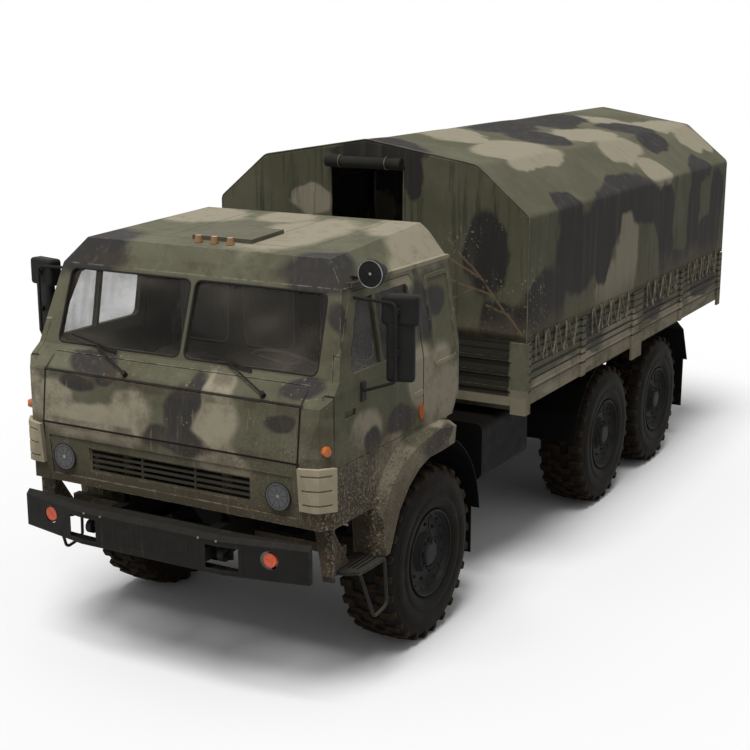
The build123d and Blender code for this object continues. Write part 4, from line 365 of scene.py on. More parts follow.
def frontCanvas(at):
    # the same cloth with twigs painted at one corner, each from one (across, high) to another
    made = canvasCloth(at)
    bent = at.warped(5.0, 0.05)
    ends = ((1.31, 1.90, 0.98, 2.28), (0.98, 2.28, 0.62, 2.47), (0.98, 2.28, 0.66, 2.60),
            (1.08, 2.17, 0.70, 2.26), (0.90, 2.20, 0.74, 2.12), (1.20, 2.04, 1.02, 2.10))
    twigs = topmost([stroke(bent, (x0, 0, z0), (x1, 0, z1), 0.011) for x0, z0, x1, z1 in ends])
    broken = twigs * at.blots(0.34, 0.52, 16.0, 3.0)
    made["Base Color"] = coated(made["Base Color"], (broken, 0.60, (0.22, 0.150, 0.085)))
    return made


def plainPaint(colour, worn, amount, dusty=0.35):
    def recipe(at):
        patchy = at.blots(0.35, 0.75, 4.0, 5.0, 0.65).tint(rgb(*colour), rgb(*(c * 1.35 for c in colour)))
        settled = upFacing(at).rise(0.2, 0.9) * dusty + at.blots(0.52, 0.75, 12.0, 5.0, 0.7) * dusty
        chips = edgeChips(at, 0.006, 0.40, 0.58, 30.0) * amount
        return {"Base Color": chips.tint(settled.tint(patchy, rgb(*worn)), rgb(*worn)),
                "Roughness": 0.55 + at.cloud(9.0, 3.0) * 0.30, "Normal": bump(at.cloud(90.0, 3.0), 0.15, 0.002)}
    return recipe


# outlines drawn on the bumper: (middle across, middle high), (half across, half high), distance, width
pressed = {"plate": ((0.02, 0.962), (0.24, 0.018), 0.050, 0.007),
           "slots": ((0.548, 0.944), (0.125, 0.070), 0.026, 0.006)}


def pressedLine(side, high, middle, half, distance, width):
    across = (abs(side - middle[0]) - half[0]).most(0.0)
    drop = (abs(high - middle[1]) - half[1]).most(0.0)
    reach = across * across + drop * drop
    return reach.maths("SQRT", reach).line(distance, width)


def bumperPaint(at):
    made = plainPaint((0.0075, 0.0070, 0.0060), (0.060, 0.050, 0.036), 0.9, 0.10)(at)
    side, along, high = at.part(0), at.part(1), at.part(2)
    plate = pressedLine(side, high, *pressed["plate"]) * along.fall(-3.86, -3.84)
    lines = plate.most(pressedLine(abs(side), high, *pressed["slots"])) * along.fall(-3.84, -3.82)
    pale = at.blots(0.66, 0.72, 1.0, 4.0, 0.6, (70, 8, 3.0)) * abs(side).rise(0.36, 0.30)
    made["Base Color"] = coated(
        made["Base Color"], (at.blots(0.56, 0.72, 1.0, 5.0, 0.7, (30, 6, 2.2)), 0.50, (0.045, 0.032, 0.020)),
        (pale, 0.35, (0.16, 0.14, 0.10)), (lines, 0.55, (0.003, 0.003, 0.003)))
    made["Normal"] = bump(at.cloud(70.0, 3.0) * 0.4 - lines * 1.5, 0.5, 0.004)
    return made


def rubberLook(at):
    caked = at.blots(0.42, 0.66, 7.0, 5.0, 0.7)
    colour = coated(rgb(0.0055, 0.0052, 0.0046), (caked, 0.55, (0.020, 0.0145, 0.009)),
                    (at.blots(0.58, 0.70, 40.0, 3.0, 0.6), 0.30, (0.060, 0.045, 0.028)))
    return {"Base Color": colour, "Roughness": 0.82 + caked * 0.15,
            "Normal": bump(at.cloud(60.0, 4.0, 0.7), 0.4, 0.003)}


def treadLook(at):
    caked = at.blots(0.36, 0.64, 9.0, 5.0, 0.7)
    colour = coated(rgb(0.010, 0.008, 0.006), (caked, 0.85, (0.040, 0.025, 0.014)),
                    (at.blots(0.56, 0.70, 46.0, 3.0, 0.6), 0.40, (0.12, 0.078, 0.042)))
    return {"Base Color": colour, "Roughness": 0.86 + caked * 0.1,
            "Normal": bump(at.cloud(50.0, 4.0, 0.7), 0.5, 0.004)}


def glassLook(at):
    # dust film with a dirty foot and brow, and faint arcs that the wipers leave
    high = at.part(2)
    film = at.blots(0.35, 0.75, 1.1, 4.0, 0.55, (1, 1, 2.0))
    arcs = at.vector("SUBTRACT", (-0.05, 0, 2.02)).vector("LENGTH", out="Value")
    arcs = arcs.maths("SINE", (arcs + at.cloud(2.0) * 0.08) * 70.0) * 0.5 + 0.5
    dirt = film * 0.45 + high.fall(2.05, 2.20) * 0.25 + high.rise(2.40, 2.53) * 0.20 + arcs * film * 0.22
    return {"Base Color": dirt.rise(0.0, 1.0).tint(rgb(0.022, 0.018, 0.013), rgb(0.120, 0.098, 0.070)),
            "Roughness": 0.10 + dirt * 0.3, "Alpha": 0.12 + dirt * 0.36}


def cabLampLook(at):
    # ribbed glass for the headlamps, painted with a reflection that is pale in the very middle, darker towards
    # the rim and striped along the ribs; amber plastic for the markers, duller on the roof
    side, high = at.part(0), at.part(2)
    head = abs(side).rise(0.70, 0.72) * high.fall(1.44, 1.46)
    plastic = at.blots(0.3, 0.8, 30.0, 3.0).tint(rgb(0.58, 0.140, 0.012), rgb(0.34, 0.090, 0.014))
    plastic = high.rise(2.4, 2.45).tint(plastic, rgb(0.270, 0.125, 0.034))
    flat = side.node("ShaderNodeCombineXYZ", None, {0: abs(side), 1: 0.0, 2: high})
    off = flat.vector("DISTANCE", (0.841, 0, 1.333), "Value")
    ribs = at.maths("SINE", side * 420.0) * 0.5 + 0.5
    glass = (ribs * 0.35 + off.rise(0.0, 0.085) * 0.4).tint(rgb(0.052, 0.053, 0.056), rgb(0.016, 0.017, 0.018))
    glass = off.rise(0.016, 0.006).tint(glass, rgb(0.30, 0.30, 0.30))
    glass = coated(glass, (off.line(0.075, 0.006), 0.7, (0.012, 0.012, 0.012)))
    return {"Base Color": head.tint(plastic, glass), "Roughness": 0.22 + at.cloud(12.0) * 0.2,
            "Normal": bump(ribs * head, 0.25, 0.002)}


def chassisLampLook(at):
    along = at.part(1)
    front = along.fall(-3.1, -3.0)
    far = at.blots(0.35, 0.70, 40.0, 3.0)
    fog = far.tint(rgb(0.80, 0.095, 0.012), rgb(0.50, 0.055, 0.010))
    tail = far.tint(rgb(0.22, 0.006, 0.005), rgb(0.10, 0.005, 0.004))
    holder = (front * along.rise(-3.80, -3.79)).most((1 - front) * along.fall(3.80, 3.805))
    return {"Base Color": holder.tint(front.tint(tail, fog), rgb(0.012, 0.011, 0.010)),
            "Roughness": 0.26 + at.cloud(20.0) * 0.2, "Normal": bump(at.cloud(90.0, 1.0), 0.2, 0.002)}


def grilleLook(at):
    side, high = abs(at.part(0)), at.part(2)
    sand = plainPaint((0.330, 0.284, 0.196), (0.42, 0.37, 0.27), 0.8, 0.30)(at)["Base Color"]
    # painted shade: the recessed slot area in the middle of the grille is darkened
    slotShade = side.fall(0.62, 0.63) * high.rise(1.262, 1.270) * high.fall(1.405, 1.413)
    slotShaded = coated(bodyPaint(at)["Base Color"], (slotShade, 0.82, (0.022, 0.019, 0.014)))
    return {"Base Color": side.rise(0.80, 0.90).tint(slotShaded, sand), "Roughness": 0.75 + at.cloud(5.0) * 0.1,
            "Normal": bump(at.cloud(90.0, 3.0), 0.15, 0.002)}


def stepLook(at):
    metal = plainPaint((0.016, 0.015, 0.013), (0.10, 0.088, 0.066), 1.0, 0.30)(at)["Base Color"]
    return {"Base Color": at.part(2).rise(0.825, 0.835).tint(metal, bodyPaint(at)["Base Color"]),
            "Roughness": 0.60 + at.cloud(9.0) * 0.3, "Normal": bump(at.cloud(90.0, 3.0), 0.2, 0.002)}


def doorPaint(at):
    # the body paint with the oval reflector behind the door
    paint = bodyPaint(at)
    oval = at.vector("SUBTRACT", (0, -2.489, 1.625)).vector("DIVIDE", (9.0, 0.0285, 0.0565))
    lens = oval.vector("LENGTH", out="Value").fall(1.0, 1.04) * abs(at.part(0)).rise(1.1808, 1.1822)
    amber = at.blots(0.3, 0.8, 30.0).tint(rgb(0.52, 0.115, 0.022), rgb(0.34, 0.085, 0.022))
    paint["Base Color"] = lens.tint(paint["Base Color"], amber)
    return paint


def mixed(low, high, cloud, rough, span=None, relief=None, cover=None):
    # two tones mixed by a cloud: rough is (least, cloud scale, range), relief (cloud scale, strength, distance)
    def recipe(at):
        mask = at.blots(*span, *cloud) if span else at.cloud(*cloud)
        made = {"Base Color": (mask * cover if cover else mask).tint(rgb(*low), rgb(*high)),
                "Roughness": rough[0] + at.cloud(rough[1]) * rough[2]}
        if relief:
            made["Normal"] = bump(at.cloud(relief[0], 2.0), *relief[1:])
        return made
    return recipe


def dull(specular):
    return {"Specular IOR Level": specular}


matte, cloth = dull(0.22), {**dull(0.12), "Sheen Weight": 0.05}
mats = {
    "paint": material("camouflagePaint", bodyPaint, matte),
    "door": material("camouflageDoorPaint", doorPaint, matte),
    "boards": material("plankPaint", boardPaint, matte),
    "canvas": material("canvasCloth", canvasCloth, cloth),
    "frontCanvas": material("frontCanvasCloth", frontCanvas, cloth),
    "piping": material("canvasPiping", mixed((0.16, 0.150, 0.105), (0.07, 0.064, 0.046), (7.0, 4.0),
                                             (0.88, 40.0, 0.1), (0.35, 0.7), cover=0.7), matte),
    "olive": material("oliveHatchPaint", plainPaint((0.085, 0.083, 0.055), (0.17, 0.15, 0.10), 0.5), matte),
    "bumper": material("bumperPaint", bumperPaint, dull(0.16)),
    "black": material("wornBlackPaint", plainPaint((0.0065, 0.0062, 0.0058), (0.075, 0.066, 0.050), 0.6, 0.06),
                      dull(0.20)),
    "chassis": material("dustyChassisPaint", plainPaint((0.0030, 0.0028, 0.0025), (0.012, 0.010, 0.007), 0.3,
                                                        0.15), dull(0.08)),
    "grille": material("grillePaint", grilleLook, matte),
    "step": material("stepPaint", stepLook, matte),
    "rubber": material("muddyTyreRubber", rubberLook, dull(0.15)),
    "tread": material("cakedTreadRubber", treadLook, dull(0.12)),
    "rim": material("rimPaint", plainPaint((0.0050, 0.0050, 0.0047), (0.040, 0.036, 0.029), 0.8, 0.08), matte),
    "glass": material("dustyGlass", glassLook),
    "cabLamp": material("cabLampPlastic", cabLampLook, {"Coat Weight": 0.3}),
    "chassisLamp": material("chassisLampPlastic", chassisLampLook, {"Coat Weight": 0.3}),
    "vinyl": material("seatVinyl", mixed((0.105, 0.094, 0.078), (0.150, 0.134, 0.110), (5.0, 4.0),
                                         (0.50, 20.0, 0.2), (0.3, 0.8), (220.0, 0.3, 0.001))),
    "seatTrim": material("seatPiping", mixed((0.33, 0.30, 0.25), (0.42, 0.39, 0.33), (30.0, 3.0),
                                             (0.55, 60.0, 0.2))),
    "dash": material("dashPlastic", mixed((0.045, 0.042, 0.036), (0.085, 0.076, 0.062), (5.0, 4.0),
                                          (0.60, 30.0, 0.2), (0.3, 0.8), (300.0, 0.3, 0.001)), matte),
    "wood": material("benchWood", mixed((0.085, 0.065, 0.040), (0.17, 0.130, 0.085), (3.0, 5.0, 0.6, (18, 1, 18)),
                                        (0.65, 20.0, 0.2)), matte),
    "rope": material("lacingRope", mixed((0.105, 0.098, 0.066), (0.230, 0.208, 0.150), (24.0, 4.0),
                                         (0.85, 60.0, 0.1), (0.3, 0.7), (320.0, 0.5, 0.002)), matte),
    "chrome": material("lampChrome", mixed((0.30, 0.30, 0.29), (0.10, 0.10, 0.09), (20.0, 4.0),
                                           (0.22, 25.0, 0.25), (0.3, 0.8)), {"Metallic": 0.85}),
    "flap": material("darkFlapCloth", mixed((0.010, 0.010, 0.008), (0.030, 0.028, 0.022), (6.0, 4.0),
                                            (0.88, 40.0, 0.1), relief=(160.0, 0.4, 0.001)), matte),
    "seal": material("rubberSeal", mixed((0.010, 0.010, 0.009), (0.026, 0.024, 0.020), (30.0, 3.0),
                                         (0.70, 40.0, 0.2)), matte)}

dressing = {
    "paint": ["cab_roof", "cab_back", "cab_sides", "cab_front", "cab_floor", "cab_flares", "hood_flap"],
    "door": ["door_left", "door_right"], "boards": ["bed_boards", "tailgate", "bed_floor"],
    "olive": ["roof_hatch", "canvas_bows"], "bumper": ["front_bumper"], "step": ["steps"],
    "black": ["mirror_left", "mirror_right", "search_lamp", "wipers", "tow_hooks"],
    "chassis": ["frame", "powertrain", "front_axle", "bogie_axles", "leaf_springs", "trunnion", "fuel_tank",
                "battery_box", "mudguards", "knuckle_left", "knuckle_right"],
    "grille": ["grille"], "cabLamp": ["cab_lamps"], "chassisLamp": ["chassis_lamps"],
    "glass": ["windscreen", "door_glass_left", "door_glass_right"],
    "vinyl": ["seats"], "dash": ["dashboard"], "wood": ["benches"], "canvas": ["canvas_cover"],
    "frontCanvas": ["canvas_ends"], "rubber": [name for name in nodes if name.startswith("tyre_")],
    "rim": [name for name in nodes if name.startswith("rim_")]}
for finish, names in dressing.items():
    for name in names:
        nodes[name].data.materials.clear()
        nodes[name].data.materials.append(mats[finish])
print("finishes made")


# ---- mesh helpers: a form is a list of points and a list of faces
def cleaned(name, form):
    # a mesh with doubled points merged and its faces turned outwards
    data = bpy.data.meshes.new(name)
    data.from_pydata([tuple(p) for p in form[0]], [], [tuple(f) for f in form[1]])
    shape = bmesh.new()
    shape.from_mesh(data)
    bmesh.ops.remove_doubles(shape, verts=shape.verts, dist=0.00005)
    bmesh.ops.recalc_face_normals(shape, faces=shape.faces)
    shape.to_mesh(data)
    shape.free()
    return data


def placed(name, data, finish, body, smooth=True):
    # a finished mesh at the origin that rides on a body
    data.materials.clear()
    data.materials.append(mats[finish])
    if smooth:
        data.shade_smooth()
        data.set_sharp_from_angle(angle=0.7)
    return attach(linked(name, data), body)


def piece(name, form, finish, body, smooth=True):
    return placed(name, cleaned(name, form), finish, body, smooth)


def evaluated(made):
    graph = bpy.context.evaluated_depsgraph_get()
    return bpy.data.meshes.new_from_object(made.evaluated_get(graph))


def formOf(data, side=1, centre=(0, 0, 0)):
    # a mesh's form, mirrored where side is -1, about a new centre
    return ([Vector((p.co.x * side, p.co.y, p.co.z)) + Vector(centre) for p in data.vertices],
            [tuple(f.vertices) for f in data.polygons])


def joined(forms):
    points, faces = [], []
    for some, walls in forms:
        start = len(points)
        points += [Vector(p) for p in some]
        faces += [tuple(i + start for i in wall) for wall in walls]
    return points, faces


def angles(count, shift=0.0):
    return [2 * math.pi * (k + shift) / count for k in range(count)]


def tube(path, radius, sides=8, closed=False, taper=None):
    path = [Vector(p) for p in path]
    count = len(path)
    points, faces, side = [], [], None
    for i, p in enumerate(path):
        before = path[i - 1] if closed or i else p
        after = path[(i + 1) % count] if closed or i < count - 1 else p
        way = (after - before).normalized()
        if side is None:
            side = way.orthogonal().normalized()
        side = (side - way * side.dot(way)).normalized()
        other = way.cross(side)
        here = radius * (taper[i] if taper else 1.0)
        points += [p + (side * math.cos(t) + other * math.sin(t)) * here for t in angles(sides)]
    for i in range(count if closed else count - 1):
        a, b = i * sides, (i + 1) % count * sides
        faces += [(a + k, a + (k + 1) % sides, b + (k + 1) % sides, b + k) for k in range(sides)]
    if not closed:
        faces += [tuple(range(sides)), tuple(range((count - 1) * sides, count * sides))]
    return points, faces


def circle(centre, way, radius, steps=40):
    way = Vector(way).normalized()
    side = way.orthogonal().normalized()
    other = way.cross(side)
    return [Vector(centre) + (side * math.cos(t) + other * math.sin(t)) * radius for t in angles(steps)]


def ring(centre, way, radius, steps, thick, sides=8):
    return tube(circle(centre, way, radius, steps), thick, sides, True)


def rounded(corners, radius, closed=True, steps=5):
    # the corner path with each corner turned into a short curve
    corners = [Vector(c) for c in corners]
    path = []
    for i, corner in enumerate(corners):
        if not closed and i in (0, len(corners) - 1):
            path.append(corner)
            continue
        before, after = corners[i - 1], corners[(i + 1) % len(corners)]
        start = corner + (before - corner).normalized() * radius
        end = corner + (after - corner).normalized() * radius
        for k in range(steps + 1):
            t = k / steps
            path.append(start * (1 - t) ** 2 + corner * 2 * t * (1 - t) + end * t ** 2)
    return path


def spaced(path, gap):
    # the same path with points no further apart than gap
    made = [path[0]]
    for a, b in zip(path, path[1:]):
        cuts = max(1, math.ceil((b - a).length / gap))
        made += [a.lerp(b, k / cuts) for k in range(1, cuts + 1)]
    return made


def bead(corners, radius, gap, thick):
    # a closed tube round a corner path
    path = rounded(corners, radius)
    return tube(spaced(path + path[:1], gap)[:-1], thick, 8, True)


def bevelledBox(size, centre, bevel, segments=2):
    shape = bmesh.new()
    bmesh.ops.create_cube(shape, size=1.0)
    for v in shape.verts:
        v.co = Vector(a * b + c for a, b, c in zip(v.co, size, centre))
    bmesh.ops.bevel(shape, geom=list(shape.edges), offset=bevel, segments=segments, affect="EDGES")
    shape.verts.ensure_lookup_table()
    made = [v.co.copy() for v in shape.verts], [tuple(v.index for v in f.verts) for f in shape.faces]
    shape.free()
    return made


def sheetFaces(rows, columns):
    # quads between rows of points, each row holding the given number of columns
    return [(r * columns + k, r * columns + k + 1, (r + 1) * columns + k + 1, (r + 1) * columns + k)
            for r in range(rows - 1) for k in range(columns - 1)]


def turnedForm(profile, centre, side, steps=72):
    # a closed profile of (x outboard, radius) turned about the wheel's axle
    points = [Vector(centre) + Vector((side * x, r * math.cos(t), r * math.sin(t)))
              for t in angles(steps) for x, r in profile]
    n = len(profile)
    faces = [(k * n + i, k * n + (i + 1) % n, (k + 1) % steps * n + (i + 1) % n, (k + 1) % steps * n + i)
             for k in range(steps) for i in range(n)]
    return points, faces


# ---- one node tree sets a piece at many places, each turned by its own turn attribute
def repeatTree():
    tree = bpy.data.node_groups.new("repeatPiece", "GeometryNodeTree")
    for name, kind in (("Places", "Geometry"), ("Piece", "Object"), ("Finish", "Material"),
                       ("Size Change", "Float"), ("Size", "Float"), ("Seed", "Int")):
        tree.interface.new_socket(name=name, in_out="INPUT", socket_type="NodeSocket" + kind)
    tree.interface.new_socket(name="Result", in_out="OUTPUT", socket_type="NodeSocketGeometry")
    given = {socket.name: Wire(tree, socket) for socket in tree.nodes.new("NodeGroupInput").outputs}
    size, change = given["Size"], given["Size Change"]
    info = size.node("GeometryNodeObjectInfo", {"transform_space": "ORIGINAL"},
                     {"Object": given["Piece"], "As Instance": True}, "Geometry")
    turn = tree.nodes.new("GeometryNodeInputNamedAttribute")
    turn.data_type = "FLOAT_VECTOR"
    turn.inputs["Name"].default_value = "turn"
    turned = size.node("FunctionNodeEulerToRotation", None,
                       {0: Wire(tree, next(o for o in turn.outputs if o.enabled and o.name == "Attribute"))})
    chance = tree.nodes.new("FunctionNodeRandomValue")
    chance.data_type = "FLOAT"
    for name, value in (("Min", size * (1 - change)), ("Max", size * (1 + change)), ("Seed", given["Seed"])):
        tree.links.new(value.socket, next(i for i in chance.inputs if i.enabled and i.name == name))
    scale = Wire(tree, next(o for o in chance.outputs if o.enabled))
    copies = size.node("GeometryNodeInstanceOnPoints", None,
                       {"Points": given["Places"], "Instance": info, "Rotation": turned, "Scale": scale})
    real = copies.node("GeometryNodeRealizeInstances", None, {0: copies})
    done = real.node("GeometryNodeSetMaterial", None, {"Geometry": real, "Material": given["Finish"]})
    result = tree.nodes.new("NodeGroupOutput")
    tree.links.new(done.socket, result.inputs[0])
    return tree


repeater = repeatTree()


def repeated(form, places, finish, size=1.0, change=0.0, seed=1):
    # places are (point, turn); gives a plain mesh of the form at each
    source = linked("repeatSource", cleaned("repeatSource", form))
    dots = bpy.data.meshes.new("repeatPlaces")
    dots.from_pydata([tuple(p) for p, turn in places], [], [])
    turns = dots.attributes.new("turn", "FLOAT_VECTOR", "POINT")
    for k, (p, turn) in enumerate(places):
        turns.data[k].vector = turn
    holder = linked("repeatPlaces", dots)
    modifier = holder.modifiers.new("repeat", "NODES")
    modifier.node_group = repeater
    sockets = {item.name: item.identifier for item in repeater.interface.items_tree if item.in_out == "INPUT"}
    for name, value in (("Piece", source), ("Finish", mats[finish]), ("Size Change", change), ("Size", size),
                        ("Seed", seed)):
        modifier[sockets[name]] = value
    data = evaluated(holder)
    for made in (holder, source):
        bpy.data.objects.remove(made)
    return data


def facing(way):
    # the turn that points a piece's +Z along way
    return tuple(Vector(way).to_track_quat("Z", "Y").to_euler())


# ---- tyres: a moulded carcass with raised lugs in four rows. The profile holds (distance inside the width,
# radius). A row of lugs holds its place across, its shift in lugs, its skew, its tilt and how much lower it stands
tyre = {"width": 0.205, "lugs": 26, "tip": 0.6095, "lugHalf": 0.015, "sizeChange": 0.05, "seed": 7,
        "profile": ((0.040, 0.3005), (0.020, 0.315), (0.006, 0.338), (0.0, 0.372), (-0.001, 0.392),
                    (0.004, 0.400), (0.003, 0.415), (-0.002, 0.430), (-0.002, 0.470), (0.003, 0.500),
                    (0.009, 0.508), (0.010, 0.530), (0.024, 0.560), (0.045, 0.580), (0.080, 0.588), (0.140, 0.590)),
        "rows": {"middle": (0.046, 0.0, 0.35, 0.0, 0.0), "shoulder": (0.133, 0.5, -0.12, 0.10, 0.006)}}
lugForms = {
    "middle": joined([bevelledBox((0.092, 0.052, 0.030), (0.010, 0.0, 0.0), 0.005, 1),
                      bevelledBox((0.034, 0.086, 0.029), (-0.034, 0.016, 0.0), 0.005, 1)]),
    "shoulder": joined([bevelledBox((0.100, 0.058, 0.030), (0.0, 0.0, 0.0), 0.005, 1),
                        bevelledBox((0.022, 0.050, 0.052), (0.048, 0.0, -0.022), 0.005, 1)])}


def lugPlaces(row, place):
    # the lugs' middles round a tyre whose axle is at the origin, with +Z of each pointing outwards
    across, shift, skew, tilt, lower = tyre["rows"][row]
    radius = tyre["tip"] - tyre["lugHalf"] - lower
    spin = Euler((0, 0, skew * place + (0.0 if place > 0 else math.pi)))
    lean = Euler((0, tilt * place, 0)).to_matrix() @ spin.to_matrix()
    made = []
    for angle in angles(tyre["lugs"], shift + (0.5 if place < 0 else 0.0)):
        point = Vector((place * across, -radius * math.sin(angle), radius * math.cos(angle)))
        made.append((point, tuple((Euler((angle, 0, 0)).to_matrix() @ lean).to_euler())))
    return made


outer = [(tyre["width"] - inside, radius) for inside, radius in tyre["profile"]]
carcassProfile = outer + [(-x, r) for x, r in reversed(outer)]
lugMeshes = [repeated(lugForms[row], lugPlaces(row, 1) + lugPlaces(row, -1), "tread", 1.0, tyre["sizeChange"],
                      tyre["seed"]) for row in tyre["rows"]]
for place, (side, axle) in wheels.items():
    centre = Vector((side * truck["wheelX"], truck[axle], truck["axleHeight"]))
    carcass = piece("tyreCarcass_" + place, turnedForm(carcassProfile, centre, side), "rubber", "wheel_" + place)
    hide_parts("tyre_" + place)
    lugs = piece("tyreLugs_" + place, joined([formOf(data, side, centre) for data in lugMeshes]), "tread",
                 "wheel_" + place, False)
print("tyres made")

# ---- wheel nuts, hub rings, air hose and rivets. Nuts hold (count, radius, outboard, size), rings hold
# (outboard, radius, steps, thickness)
stud = joined([tube([(0, 0, -0.001), (0, 0, 0.0075), (0, 0, 0.009)], 0.011, 6, False, (1.0, 1.0, 0.82)),
               tube([(0, 0, 0.008), (0, 0, 0.015), (0, 0, 0.0165)], 0.0052, 8, False, (1.0, 1.0, 0.6))])
rivet = tube([(0, 0, -0.001), (0, 0, 0.003), (0, 0, 0.005), (0, 0, 0.006)], 0.008, 8, False, (1.0, 1.0, 0.8, 0.4))
hub = {"nuts": ((10, 0.104, 0.1632, 1.05), (10, 0.190, 0.1265, 1.15), (16, 0.245, 0.1505, 0.75)),
       "nutShift": 0.3, "rings": ((0.1895, 0.2935, 64, 0.0055), (0.1655, 0.120, 40, 0.0040)), "hoseThick": 0.0065,
       "hose": ((0.190, 0.060), (0.196, 0.100), (0.180, 0.150), (0.168, 0.200), (0.170, 0.245), (0.182, 0.280))}
for place, (side, axle) in wheels.items():
    centre = Vector((side * truck["wheelX"], truck[axle], truck["axleHeight"]))
    parts = []
    for count, radius, out, size in hub["nuts"]:
        spots = [(centre + Vector((side * out, radius * math.cos(t), radius * math.sin(t))), facing((side, 0, 0)))
                 for t in angles(count, hub["nutShift"])]
        parts.append(formOf(repeated(stud, spots, "rim", size)))
    for out, radius, steps, thick in hub["rings"]:
        parts.append(ring(centre + Vector((side * out, 0, 0)), (1, 0, 0), radius, steps, thick))
    hose = [centre + Vector((side * x, 0.0, z)) for x, z in hub["hose"]]
    parts.append(tube(spaced(rounded(hose, 0.016, False), 0.02), hub["hoseThick"], 8))
    piece("wheelNuts_" + place, joined(parts), "rim", "wheel_" + place)

rivets = {"corner": (1.118, -3.627, 1.972), "cabSide": (1.150, -2.13, (1.66, 1.96)), "postSide": 1.3555,
          "postHeights": (1.455, 1.60, 1.77), "bumper": ((0.385, 0.520), -3.9065, 1.052)}
cornerX, cornerY, cornerZ = rivets["corner"]
cabX, cabY, cabHeights = rivets["cabSide"]
bumperXs, bumperY, bumperZ = rivets["bumper"]
bolts = {"cab": [((side * cornerX, cornerY, cornerZ), (side * 0.7, -0.7, 0)) for side in (-1, 1)]
         + [((side * cabX, cabY, z), (side, 0, 0.1)) for side in (-1, 1) for z in cabHeights],
         "chassis": [((side * rivets["postSide"], truck["bedFront"] + along, z), (side, 0, 0)) for side in (-1, 1)
                     for along in truck["posts"] for z in rivets["postHeights"]]
         + [((side * x, bumperY, bumperZ), (0, -1, 0)) for side in (-1, 1) for x in bumperXs]}
for body, spots in bolts.items():
    finish = "paint" if body == "cab" else "boards"
    data = repeated(rivet, [(Vector(p), facing(way)) for p, way in spots], finish)
    placed("rivets_" + body, data, finish, body)
print("bolts made")

# ---- canvas cover: one sheet over the bows, its ends, the rolled flaps and the piping
cover = {"half": 1.3445, "foot": 1.842, "eave": 2.770, "shoulder": (0.918, 3.121), "ridge": 3.2715,
         "round": 0.030, "sag": 0.013, "sideSag": 0.005, "thick": 0.0035, "rows": 126, "inside": 2.4,
         "slackFrom": 1.96, "slackOver": 0.35, "folds": 0.0030, "waves": 0.0035, "lift": 0.0015, "out": 0.0020,
         "edgeEase": 0.10, "hemWave": 0.006, "endGap": 0.004}
coverOutline = [(cover["half"], cover["foot"]), (cover["half"], cover["eave"]), cover["shoulder"],
                (0, cover["ridge"]), (-cover["shoulder"][0], cover["shoulder"][1]),
                (-cover["half"], cover["eave"]), (-cover["half"], cover["foot"])]


def coverTop(x):
    # the end panels' height at a place across the truck, just under the cover
    x = abs(x)
    across, high = cover["shoulder"]
    if x <= across:
        return cover["ridge"] - (cover["ridge"] - high) * x / across - cover["endGap"]
    return high - (high - cover["eave"]) * (x - across) / (cover["half"] - across) - cover["endGap"]


def sagAt(along):
    offset = along - truck["bedFront"]
    bows = (0.0,) + truck["bows"] + (truck["bedLength"],)
    for a, b in zip(bows, bows[1:]):
        if a <= offset <= b:
            return math.sin(math.pi * (offset - a) / (b - a)) ** 2 * min(1.0, (b - a) / 1.0)
    return 0.0


def coverForm(section):
    points = []
    for r in range(cover["rows"]):
        along = truck["bedFront"] + truck["bedLength"] * r / (cover["rows"] - 1)
        pull = sagAt(along)
        edge = min(1.0, min(along - truck["bedFront"], truck["bedRear"] - along) / cover["edgeEase"])
        for k, p in enumerate(section):
            before, after = section[max(0, k - 1)], section[min(len(section) - 1, k + 1)]
            way = (after - before).normalized()
            inward = Vector((way.z, 0, -way.x))
            inward = inward if inward.dot(Vector((0, 0, cover["inside"])) - p) > 0 else -inward
            steep = abs(way.z)
            slack = min(1.0, max(0.0, (p.z - cover["slackFrom"]) / cover["slackOver"]))
            fold = noise.noise(Vector((p.x * 0.6, along * 5.5, p.z * 0.7))) * cover["folds"] * steep
            fold += noise.noise(Vector((p.x * 1.6, along * 1.7, p.z * 1.4)) + Vector((9, 4, 2))) * cover["waves"]
            depth = (cover["sag"] * (1 - steep) + cover["sideSag"] * steep * slack) * pull
            depth += (fold * (0.35 + 0.65 * slack) + cover["lift"]) * max(0.0, edge)
            moved = p + inward * max(-cover["out"], depth)
            if k in (0, len(section) - 1):
                moved.z += cover["hemWave"] * math.sin(along * 38.0) ** 2
            points.append((moved.x, along, moved.z))
    return points, sheetFaces(cover["rows"], len(section))


def clothPiece(name, form, finish, body, thick=cover["thick"]):
    # the sheet with its underside, closed at the edges
    made = placed(name, cleaned(name, form), finish, body)
    wall = made.modifiers.new("thickness", "SOLIDIFY")
    wall.thickness = thick
    wall.offset = 0.0
    closed = evaluated(made)
    made.modifiers.clear()
    made.data = closed
    shape = bmesh.new()
    shape.from_mesh(closed)
    bmesh.ops.recalc_face_normals(shape, faces=shape.faces)
    shape.to_mesh(closed)
    shape.free()
    return made


